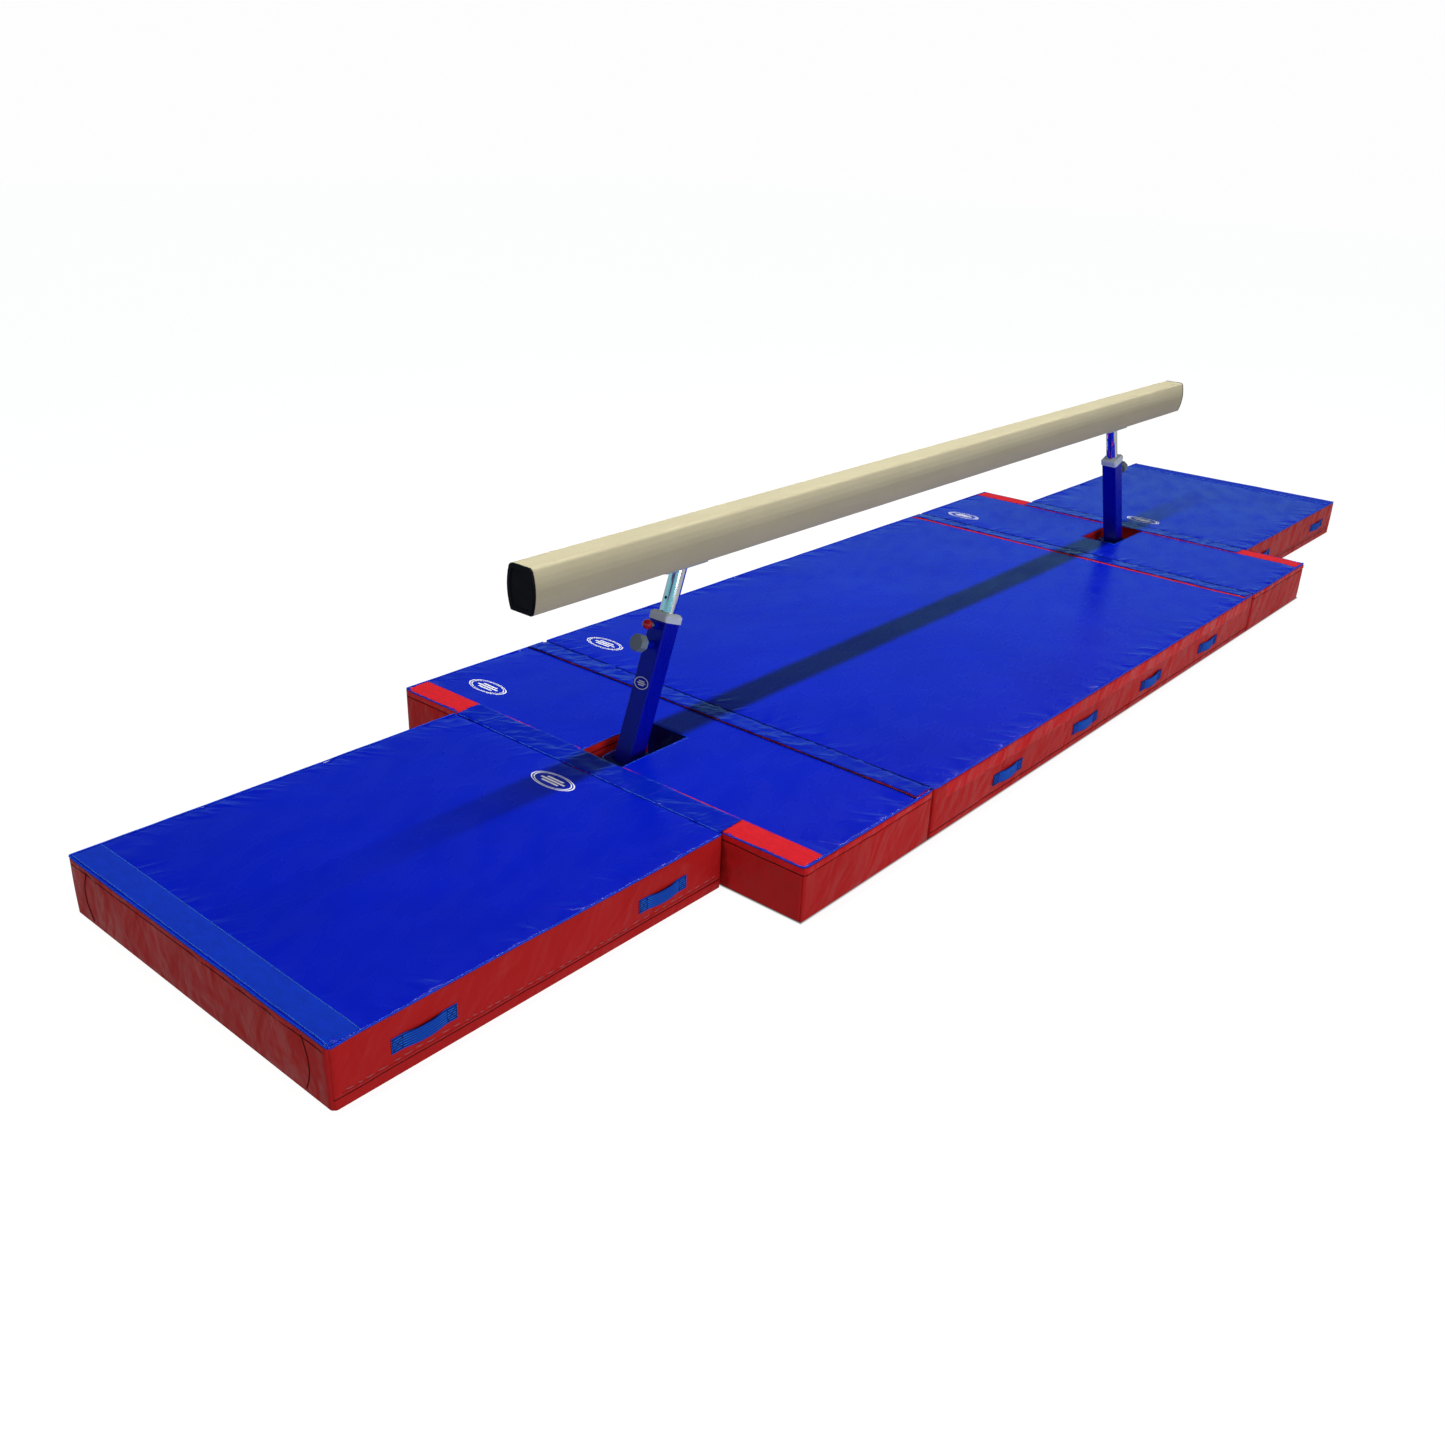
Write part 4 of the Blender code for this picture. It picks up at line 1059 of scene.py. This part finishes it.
pipingLook = {
    "radius": 0.0030,
    "out": 0.0008,
    "up": 0.0012,
    "upLong": 0.0024,  # on the long sides
    "pressed": 0.0046,  # lower by this under the flaps
    "outerEnds": 3,  # edges past this place along X meet no flap
    "legOuter": 2,  # a leg mat's edge past this meets an end mat's flap
    "endFlap": 0.68,  # half the width that an end mat's flap covers
    "slotFlap": 2.125,  # where an end mat's flap begins over the slot
}


def buildPiping(name):
    # a welt round the top edge, one run for each straight side that shows; its paler blue is partly a painted
    # highlight
    mat, look = mats[name], pipingLook
    flat, points, low, high = mat["flat"], mat["points"], mat["low"], mat["high"]
    top = np.abs(flat[:, 2] - high[2]) < 1e-6
    runs = []
    for axis, ends in ((1, (low[1], high[1])), (0, (low[0], high[0]))):
        for end in ends:
            chosen = np.flatnonzero(top & (np.abs(flat[:, axis] - end) < 1e-6))
            order = chosen[np.argsort(flat[chosen, 1 - axis])]
            path = points[order].copy()
            path[:, axis] += math.copysign(look["out"], end - (low[axis] + high[axis]) / 2)
            path[:, 2] += look["upLong"] if axis == 1 else look["up"]
            if axis == 0 and abs(end) < look["outerEnds"]:
                narrow = mat["slot"] and abs(end) > look["legOuter"]
                reach = look["endFlap"] if narrow else high[1] + 1
                path[np.abs(path[:, 1]) < reach, 2] -= look["pressed"]
            breaks = np.flatnonzero(np.diff(flat[order, 1 - axis]) > 0.12) + 1
            runs += [eased(r, 12) for r in np.split(path, breaks) if len(r) > 3]
    piece = tubes(name.replace("Mat", "Piping"), runs, look["radius"], pipeBlueHighlight, sides=7)
    attach(piece, mat["piece"])


def buildSlotPiping(name):
    mat, look = mats[name], pipingLook
    hollow, high = mat["hollow"], mat["high"]
    out, half = hollow["out"], hollow["slotHalf"]
    flat, points = mat["flat"], mat["points"].copy()
    points[out * points[:, 0] > look["slotFlap"], 2] -= look["pressed"]
    top = np.abs(flat[:, 2] - high[2]) < 1e-6
    runs = []
    for side in (-1, 1):
        on = top & (np.abs(flat[:, 1] - side * half) < 1e-6)
        on &= out * flat[:, 0] >= hollow["slotInner"] - 1e-6
        chosen = np.flatnonzero(on)
        runs.append(eased(points[chosen[np.argsort(flat[chosen, 0])]] + (0, 0, look["up"]), 8))
    on = top & (np.abs(flat[:, 0] - out * hollow["slotInner"]) < 1e-6) & (np.abs(flat[:, 1]) <= half + 1e-6)
    chosen = np.flatnonzero(on)
    runs.append(eased(points[chosen[np.argsort(flat[chosen, 1])]] + (0, 0, look["up"]), 8))
    cord = tubes(name.replace("Mat", "SlotPiping"), runs, look["radius"] * 0.8, pipeBlueHighlight, sides=7)
    attach(cord, mat["piece"])


endSeams = {"half": 0.560, "bow": 0.026, "foot": 0.012, "head": 0.182, "radius": 0.0014}
zipLook = {"height": 0.052, "radius": 0.0023, "tuck": (0.012, 0.032), "gap": (0.006, 0.022)}


def faceLine(name, spots, axis, way):
    # points of a line laid on a cover's side; spots are (place along, height)
    tree, line = coverTrees[name], []
    for along, z in spots:
        start = Vector((way * 4.2, along, z)) if axis == 0 else Vector((along, way * 1.4, z))
        aim = Vector((-way, 0, 0)) if axis == 0 else Vector((0, -way, 0))
        hit = tree.ray_cast(start, aim)[0]
        line.append(hit - aim * 0.0004)
    return line


def buildEndSeams(name):
    # the bowed seams beside the corners of an end mat's outer face, and the hem under its top edge, as thin
    # near-black cords of painted shade
    mat, look = mats[name], endSeams
    rows = []
    for side in (-1, 1):
        spots = [(side * (look["half"] + look["bow"] * math.sin(math.pi * t)),
                  look["foot"] + t * (look["head"] - look["foot"])) for t in np.linspace(0, 1, 20)]
        rows.append(faceLine(name, spots, 0, mat["way"]))
    attach(tubes(name.replace("Mat", "CornerSeams"), rows, look["radius"], seamShadeRed, sides=6), mat["piece"])
    hem = faceLine(name, [(y, 0.176) for y in np.linspace(-0.655, 0.655, 90)], 0, mat["way"])
    attach(tubes(name.replace("Mat", "Hem"), [eased(hem)], 0.0009, seamShadeRed, sides=5), mat["piece"])


def buildZipSeams(name):
    # the puckered row over the lid's zip on the long sides: short raised tucks, in a paler red as a painted
    # highlight, with thread between
    mat, look = mats[name], zipLook
    low, high = mat["low"], mat["high"]
    random = np.random.default_rng(mat["seed"] + 4)
    tucks, lines = [], []
    for way in (-1, 1):
        x = low[0] + 0.04
        while x < high[0] - 0.05:
            long = random.uniform(*look["tuck"])
            z = look["height"] + 0.003 * math.sin(x * 7) + random.normal(0, 0.0012)
            spots = [(x + long * t, z + 0.0015 * math.sin(3 * t + x)) for t in np.linspace(0, 1, 5)]
            tucks.append(faceLine(name, spots, 1, way))
            x += long + random.uniform(*look["gap"])
        spots = [(x, look["height"] - 0.008) for x in np.arange(low[0] + 0.03, high[0] - 0.03, 0.006)]
        lines.append(eased(faceLine(name, spots, 1, way), 3))
    raised = tubes(name.replace("Mat", "ZipTucks"), tucks, look["radius"], tuckHighlightRed, sides=6, bulge=True)
    attach(raised, mat["piece"])
    attach(tubes(name.replace("Mat", "ZipStitch"), lines, 0.0008, threadRed, sides=4, wobble=0.6, pitch=0.01),
           mat["piece"])


for tapeName, (owner, xRange, yRange, finish) in tapes.items():
    buildTape(tapeName, owner, xRange, yRange, finish)
# painted shadow: a dark cord on the tape where the middle flap's raised edge throws its shade
flapEdgeShadow = stitchAndShadeRow("nearLegFlapEdgeShadow", "nearLegMat", -1.5990, -0.99, 0.99, seamShadeBlue, 0.0012, 0.0026)
attach(flapEdgeShadow, mats["nearLegMat"]["piece"])
for matName in mats:
    buildPiping(matName)
for matName in ("nearLegMat", "farLegMat"):
    buildSlotPiping(matName)
for matName in ("nearEndMat", "farEndMat"):
    buildEndSeams(matName)
    buildZipSeams(matName)
print("tapes and piping done")

# joining flaps

flapLook = {
    "thick": 0.0015,
    "overTape": 0.0027,  # clear of the tape it presses on
    "step": 0.011,
    "ripple": 0.0020,
    "edgeWave": 0.0034,
    "gapSag": 0.0012,
}
flaps = {
    "nearEndFlap": ("flap_near_end", "near_end_mat", "near_end_flap", "near_end_flap_lift", -2.250, 5),
    "middleFlap": ("flap_middle", "mats", "middle_flap", "middle_flap_lift", -1.500, 17),
    "farLegFlap": ("flap_far_leg", "mats", "far_leg_flap", "far_leg_flap_lift", 1.500, 29),
    "farEndFlap": ("flap_far_end", "far_end_mat", "far_end_flap", "far_end_flap_lift", 2.250, 43),
}


def jointPlace(name):
    return Vector(next(j for j in frame["joints"] if j["name"] == name)["pos_m"])


def buildFlap(name, node, sewnTo, body, joint, gapX, seed):
    look = flapLook
    low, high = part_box(node)
    hinge = jointPlace(joint).x
    free = low.x if abs(low.x - hinge) > abs(high.x - hinge) else high.x
    sewn = high.x if free == low.x else low.x
    way = 1 if free > sewn else -1
    xs = np.linspace(sewn, free, 13)
    xs = np.sort(np.concatenate((xs, [free - way * 0.004])))
    ys = np.linspace(low.y, high.y, round((high.y - low.y) / look["step"]) + 1)
    strokes = Strokes(seed)
    for x0, inward in ((sewn, way), (free, -way)):
        strokes.alongSeam((x0, low.y), (x0, high.y), (inward, 0), 0.024, 0.05, look["ripple"], 0.006, 0.6)
    strokes.free((min(sewn, free), low.y), (max(sewn, free), high.y), int((high.y - low.y) * 14),
                 0.05, 0.0016, 0.006, 0.5, 0.8)
    u, v = (a.ravel() for a in np.meshgrid(xs, ys, indexing="ij"))
    ripple = np.clip(np.abs(strokes.heights(u, v)), 0, 0.0034).reshape(len(xs), len(ys))
    wave = swell(np.full(len(ys), 0.3), ys, seed + 1, 1.0, 0.6, 0.08, 12)
    ripples = {(x, y): ripple[i, j] for i, x in enumerate(xs) for j, y in enumerate(ys)}

    def heightAt(x, y):
        bridge = 0.017
        near = abs(x - gapX)
        inset = min(max(y, low.y + 0.004), high.y - 0.004)
        if near < bridge:
            share = (x - gapX + bridge) / (2 * bridge)
            a = coverTop(gapX - bridge, inset) or 0.1985
            b = coverTop(gapX + bridge, inset) or 0.1985
            z = a + (b - a) * share - look["gapSag"] * (1 - (near / bridge) ** 2)
        else:
            z = coverTop(x, inset) or 0.1985
        clear = look["overTape"]
        if (x - gapX) * way < 0:
            clear = 0.0004 + 0.0012 * smooth((bridge - near) / bridge)
        return z + clear + ripples.get((x, y), 0)

    # painted shade: the flap's rim faces take the near-black blue, a dark outline for the shadow under its
    # edges
    finishes = [flapBlue, hookBlack, seamShadeBlue]
    piece = laidSheet(name, xs, ys, heightAt, look["thick"], finishes, under=1, rimKind=2)
    weigh(piece, creaseX=0.40, creaseY=0.55)
    mesh = piece.data
    co = np.zeros(len(mesh.vertices) * 3)
    mesh.vertices.foreach_get("co", co)
    co = co.reshape(-1, 3)
    share = smooth((co[:, 0] - hinge) / (free - hinge))
    co[:, 0] += share * look["edgeWave"] * np.interp(co[:, 1], ys, wave)
    curl = np.interp(co[:, 1], ys, np.roll(wave, 7))
    co[:, 2] += smooth((share - 0.6) / 0.4) * np.clip(0.7 + curl, 0, 2) * 0.0013
    mesh.vertices.foreach_set("co", co.ravel())
    mesh.update()
    bend = Vector((way, 0, 0))
    start = jointPlace(joint) - bend * 0.001
    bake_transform(piece)
    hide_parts(node)
    restsOn, sewnMat = {
        "nearEndFlap": ("nearLegMat", "nearEndMat"),
        "middleFlap": ("nearLegMat", "middleMat"),
        "farLegFlap": ("middleMat", "farLegMat"),
        "farEndFlap": ("farLegMat", "farEndMat"),
    }[name]
    line = hinge + way * 0.004
    path = eased([(line, y, heightAt(line, y) + look["thick"]) for y in ys[1:-1]], 3)
    endSeam = name == "nearEndFlap"
    # painted shade: on all but the near end flap the seam is a thick near-black cord for the shade in the
    # gap; the near end flap's is real pale thread
    radius, thread = (0.0011, threadBlue) if endSeam else (0.0024, seamShadeBlue)
    seam = tubes(name + "Seam", [path], radius, thread, sides=6)
    cover = mats[sewnMat]["piece"]
    seam.parent, seam.matrix_parent_inverse = cover, cover.matrix_world.inverted()


for flapName, values in flaps.items():
    buildFlap(flapName, *values)
print("flaps done")

# carry handles

handleLook = {
    "length": 0.215,
    "width": 0.048,
    "thick": 0.0022,
    "sewn": 0.038,  # stitched down at each end
    "bow": 0.0065,
    "sag": 0.003,
    "thread": 0.0013,
    "stripes": (-0.32, -0.16, 0.0, 0.16, 0.32),
}


def buildHandle(name, owner, x0, z0, way, lean=0.0):
    look = handleLook
    half, sewn = look["length"] / 2, look["sewn"]
    ends = []
    for side in (-1, 1):
        spots = [coverSide(owner, x0 + side * (half - sewn * k), z0 + dz, way)
                 for k in (0.1, 0.5, 0.9) for dz in (-0.018, 0, 0.018)]
        ends.append(max(way * s for s in spots) + 0.0004)
    between = np.linspace(-half + sewn, half - sewn, 17)[1:-1]
    along = np.concatenate((np.linspace(-half, -half + sewn, 5), between, np.linspace(half - sewn, half, 5)))
    stripes = [v + d for v in look["stripes"] for d in (-0.028, 0.028)]
    across = np.array(sorted([-0.5, -0.485, 0.485, 0.5, *stripes]))
    points = []
    for layer in (1, 0):
        for t in along:
            free = max(0.0, 1 - abs(t) / (half - sewn))
            lift = math.sin(math.pi / 2 * min(1, free * 1.15)) ** 1.3 if free > 0 else 0
            base = ends[0] + (ends[1] - ends[0]) * (t + half) / (2 * half)
            for v in across:
                rib = 0.0003 if any(abs(v - s) < 0.03 for s in look["stripes"]) else 0.0
                edge = 0.0006 * (abs(v) > 0.49)
                out = base + look["bow"] * lift * (1 - 0.35 * v) + (look["thick"] + rib - edge) * layer
                z = z0 + v * look["width"] * (1 - 0.07 * lift) - look["sag"] * lift + lean * t
                points.append((x0 + t, way * out, z))
    m, n = len(along), len(across)
    index = np.arange(m * n).reshape(m, n)
    a, b, c, d = index[:-1, :-1], index[1:, :-1], index[1:, 1:], index[:-1, 1:]
    front = np.stack((a, b, c, d), -1).reshape(-1, 4)
    loop = np.concatenate((index[:, 0], index[-1, 1:], index[-2::-1, -1], index[0, -2:0:-1]))
    after = np.roll(loop, -1)
    rim = np.stack((loop, loop + m * n, after + m * n, after), -1)
    faces = np.concatenate((front, front[:, ::-1] + m * n, rim))
    if way > 0:
        faces = faces[:, ::-1]
    kinds = np.zeros(len(faces), np.int32)
    column = np.tile(np.arange(n - 1), m - 1)
    middles = (across[1:] + across[:-1]) / 2
    striped = np.array([any(abs(v - s) < 0.005 for s in look["stripes"]) for v in middles])
    kinds[: len(front)] = striped[column]
    strap = meshPiece(name, points, faces, [strapBlue, strapPale], kinds, sharp=60)
    attach(strap, mats[owner]["piece"])
    paths = []
    for side, base in zip((-1, 1), ends):
        x1, x2 = x0 + side * (half - 0.004), x0 + side * (half - sewn + 0.003)
        z1, z2 = z0 - look["width"] / 2 + 0.005, z0 + look["width"] / 2 - 0.005
        y = way * (base + look["thick"] + 0.0003)
        box = [(x1, y, z1), (x2, y, z1), (x2, y, z2), (x1, y, z2), (x1, y, z1)]
        for p, q in [*zip(box, box[1:]), (box[0], box[2]), (box[1], box[3])]:
            paths.append(np.linspace(p, q, 14))
    attach(tubes(name + "Stitching", paths, look["thread"], threadDark, sides=4, wobble=0.4), strap)


handlePlaces = {
    # owner: the middles of its handles along X, and their height
    "nearEndMat": ((-3.46, -2.54), 0.100),
    "middleMat": ((-0.96, -0.32, 0.32, 0.96), 0.075),
    "farEndMat": ((2.54, 3.46), 0.100),
}
for owner, (places, height) in handlePlaces.items():
    for side, way in (("Right", -1), ("Left", 1)):
        for i, place in enumerate(places):
            buildHandle(f"{owner.replace('Mat', '')}Handle{side}{i + 1}", owner, place, height, way)
print("handles done")

# plain printed ovals

markLook = {"long": 0.200, "short": 0.094, "rings": ((1.0, 0.935), (0.87, 0.815)), "lift": 0.00035}
marks = {
    "nearEndMark": ("nearEndMat", (-2.385, -0.01)),
    "nearLegMark": ("nearLegMat", (-2.006, 0.780)),
    "middleMark": ("middleMat", (-1.338, 0.790)),
    "farLegMark": ("farLegMat", (1.650, 0.795)),
    "farEndMark": ("farEndMat", (2.385, 0.0)),
}


def ovalPatches(look, count=56):
    # two rings and three plain bars, as (u, v) quads on a flat oval of half sizes 1 x 1
    quads = []
    for outer, inner in look["rings"]:
        for k in range(count):
            a, b = 2 * math.pi * k / count, 2 * math.pi * (k + 1) / count
            ring = [(outer, a), (outer, b), (inner, b), (inner, a)]
            quads.append([(r * math.cos(t), r * math.sin(t)) for r, t in ring])
    for v, half in ((0.30, 0.40), (0.0, 0.58), (-0.30, 0.40)):
        steps = np.linspace(-half, half, 9)
        for a, b in zip(steps, steps[1:]):
            quads.append([(a, v - 0.09), (b, v - 0.09), (b, v + 0.09), (a, v + 0.09)])
    return quads


def buildMark(name, owner, centre):
    look = markLook
    points, faces = [], []
    for quad in ovalPatches(look):
        faces.append(tuple(range(len(points), len(points) + 4))[::-1])
        for u, v in quad:
            x, y = centre[0] + v * look["short"] / 2, centre[1] + u * look["long"] / 2
            points.append((x, y, coverTop(x, y, owner) + look["lift"]))
    attach(meshPiece(name, points, faces, [printWhite]), mats[owner]["piece"])


def buildLegMark(name, tube, body, height, long=0.068, short=0.046):
    # the same oval on the outer face of a leg
    node = frame["nodes"][tube]
    tree = BVHTree.FromPolygons([v.co for v in node.data.vertices], [p.vertices for p in node.data.polygons])
    way = 1 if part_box(tube)[0].x > 0 else -1
    ray = Vector((-way, 0, 0))
    hit, normal = tree.ray_cast(Vector((way * 3, 0, height)), ray)[:2]
    up = normal.cross(Vector((0, 1, 0))).normalized()
    up = up if up.z > 0 else -up
    points, faces = [], []
    for quad in ovalPatches({"rings": ((1.0, 0.88),)}):
        faces.append(tuple(range(len(points), len(points) + 4)))
        for u, v in quad:
            points.append(hit + normal * 0.0004 + Vector((0, 1, 0)) * u * long / 2 + up * v * short / 2)
    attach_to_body(meshPiece(name, points, faces, [printWhite]), body)


for markName, (owner, centre) in marks.items():
    buildMark(markName, owner, centre)
for end in ("near", "far"):
    buildLegMark(f"{end}LegPrint", f"{end}_outer_tube", f"{end}_leg", 0.43)

# beam

beamLook = {"step": 0.05, "softness": 0.0006, "seamRadius": 0.0007}


def buildBeamCover():
    # padding and suede drawn over the section, from the CAD sleeve's own outline
    look = beamLook
    node = frame["nodes"]["beam_cover"]
    low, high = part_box("beam_cover")
    end = [v.co for v in node.data.vertices if v.co.x < low.x + 1e-4]
    hull = geometry.convex_hull_2d([(c.y, c.z) for c in end])
    outline = np.array([(end[i].y, end[i].z) for i in hull])
    closed = np.concatenate((outline, outline[:1]))
    runs = np.concatenate(([0], np.cumsum(np.linalg.norm(np.diff(closed, axis=0), axis=1))))
    places = np.unique(np.concatenate((runs[:-1], np.linspace(0, runs[-1], 49)[:-1])).round(5))
    ring = np.column_stack([np.interp(places, runs, closed[:, k]) for k in (0, 1)])
    middle = np.array((0.0, (low.z + high.z) / 2))
    tuck = (0.0, 0.0008, 0.002, 0.005, 0.012, 0.03)
    even = np.linspace(low.x + 0.03, high.x - 0.03, round((high.x - low.x) / look["step"]))
    xs = sorted({low.x + t for t in tuck} | {high.x - t for t in tuck} | set(even.tolist()))
    points = []
    n = len(ring)
    for x in xs:
        nearEnd = min(x - low.x, high.x - x)
        pull = 0.0022 * math.exp(-nearEnd / 0.0012)
        soft = swell(np.full(n, x), ring[:, 0] * 3 + ring[:, 1] * 2, 7, look["softness"], 0.8, 0.12, 10)
        away = (ring - middle) / np.linalg.norm(ring - middle, axis=1)[:, None]
        moved = ring + away * (np.minimum(soft, 0.0002) - pull)[:, None]
        points += [(x, p[0], p[1]) for p in moved]
    faces = []
    for i in range(len(xs) - 1):
        for k in range(n):
            a, b = i * n + k, i * n + (k + 1) % n
            faces.append((a, a + n, b + n, b))
    faces.append(tuple(range(n)))
    faces.append(tuple(range(len(points) - n, len(points)))[::-1])
    piece = meshPiece("beamCover", points, faces, [beamSuede], sharp=40)
    bm = bmesh.new()
    bm.from_mesh(piece.data)
    bmesh.ops.recalc_face_normals(bm, faces=bm.faces)
    bm.to_mesh(piece.data)
    bm.free()
    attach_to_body(piece, "beam")
    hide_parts("beam_cover")
    rows = []
    for y in (-0.0035, 0.0035):
        rows.append([(x, y, low.z - 0.0003) for x in np.linspace(low.x + 0.02, high.x - 0.02, 1600)])
    beige = sewingThread("beigeThread", (0.36, 0.32, 0.22))
    seams = tubes("beamUndersideSeam", rows, look["seamRadius"], beige, sides=4, wobble=0.5, pitch=0.009)
    attach(seams, piece)


buildBeamCover()
print("beam done")

# padded sleeves at the feet of the legs

sleeveLook = {"proud": 0.019, "rise": 0.018, "bulge": 0.0025, "levels": 6}


def buildSleeve(end):
    # a soft square sleeve round the tube, fuller than its core and stitched along its upper rim
    look, node = sleeveLook, frame["nodes"][f"{end}_foot_socket"]
    bm = bmesh.new()
    bm.from_mesh(node.data)
    tree = BVHTree.FromBMesh(bm)
    low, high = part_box(f"{end}_foot_socket")
    rows = []
    for i in range(look["levels"] + 1):
        z = low.z + 0.004 + (high.z - low.z - 0.008) * i / look["levels"]
        ring = []
        for k in range(40):
            a = 2 * math.pi * (k + 0.5) / 40
            aim = Vector((math.cos(a), math.sin(a), 0))
            middle = Vector(((low.x + high.x) / 2, 0, z))
            outside = tree.ray_cast(middle + aim * 0.4, -aim)[0]
            inside = tree.ray_cast(middle, aim)[0]
            ring.append((outside, inside, aim))
        rows.append(ring)
    bm.free()
    count, points = 40, []
    for i, ring in enumerate(rows):
        t = i / look["levels"]
        full = look["proud"] * (1 - 0.25 * (1 - t)) + look["bulge"] * math.sin(math.pi * t)
        points += [hit + aim * full + Vector((0, 0, look["rise"] * t)) for hit, _, aim in ring]
    top = len(points) - count
    rise = Vector((0, 0, look["rise"]))
    for share, lift in ((0.12, 0.0022), (0.5, 0.0015), (0.88, -0.002)):
        up = Vector((0, 0, lift))
        points += [points[top + k].lerp(rows[-1][k][1] + rise, share) + up for k in range(count)]
    for ring in rows[::-1]:
        points += [inside + aim * 0.0003 for _, inside, aim in ring]
    levels = len(points) // count
    faces = [(i * count + k, i * count + (k + 1) % count,
              (i + 1) % levels * count + (k + 1) % count, (i + 1) % levels * count + k)
             for i in range(levels) for k in range(count)]
    piece = meshPiece(f"{end}FootSleeve", points, faces, [cadFinishes["foot_socket"]], sharp=60)
    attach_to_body(piece, f"{end}_leg")
    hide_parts(f"{end}_foot_socket")
    rim = [points[top + k % count] + Vector((0, 0, 0.0012)) for k in range(count + 1)]
    attach(tubes(f"{end}SleeveStitch", [rim], 0.0011, threadBlue, sides=5, wobble=0.6, pitch=0.012), piece)


# finishes of the CAD nodes that show

for end in ("near", "far"):
    buildSleeve(end)
for node, thing in frame["nodes"].items():
    for word, finish in cadFinishes.items():
        if node.endswith(word):
            thing.data.materials.clear()
            thing.data.materials.append(finish)


def buildFloor(look):
    half = look["floorSize"] / 2
    finish = Finish("paleFloor", look["floorColour"], 0.7, specular=0.2)
    mottle = finish.noise(1.6, 3)
    finish.paint(finish.colours(mottle, (0.3, shade(look["floorColour"], 0.99)), (0.7, look["floorColour"])))
    parts = finish.nodes.new("ShaderNodeSeparateXYZ")
    finish.links.new(finish.where, parts.inputs[0])
    past = [finish.spread(parts.outputs[axis], 0, 1, edge, edge + way * 0.01)
            for axis, reach in zip("XY", look["shadeUnderMats"]) for edge, way in ((-reach, -1), (reach, 1))]
    clear = finish.larger(finish.larger(past[0], past[1]), finish.larger(past[2], past[3]))
    # painted shade: under the mats the seen glow drops to near black, so the slot bottoms show dark as if in
    # shade
    glow = finish.colours(clear, (0.0, (0.01, 0.01, 0.012)), (1.0, [look["floorGlow"]] * 3))
    bounce = finish.colours(clear, (0.0, [look["floorBounce"]] * 3), (1.0, [look["floorBounce"]] * 3))
    seen = finish.nodes.new("ShaderNodeLightPath").outputs["Is Camera Ray"]
    finish.links.new(finish.blended(seen, bounce, glow), finish.shader.inputs["Emission Color"])
    finish.number("Emission Strength", 1.0)
    corners = [(-half, -half, -0.001), (half, -half, -0.001), (half, half, -0.001), (-half, half, -0.001)]
    meshPiece("floor", corners, [(0, 1, 2, 3)], [finish.material])


buildFloor(studio)
makeCamera(cameraView)
makeWorld(studio)
makeLights(studio)
scene.view_settings.view_transform = "Standard"
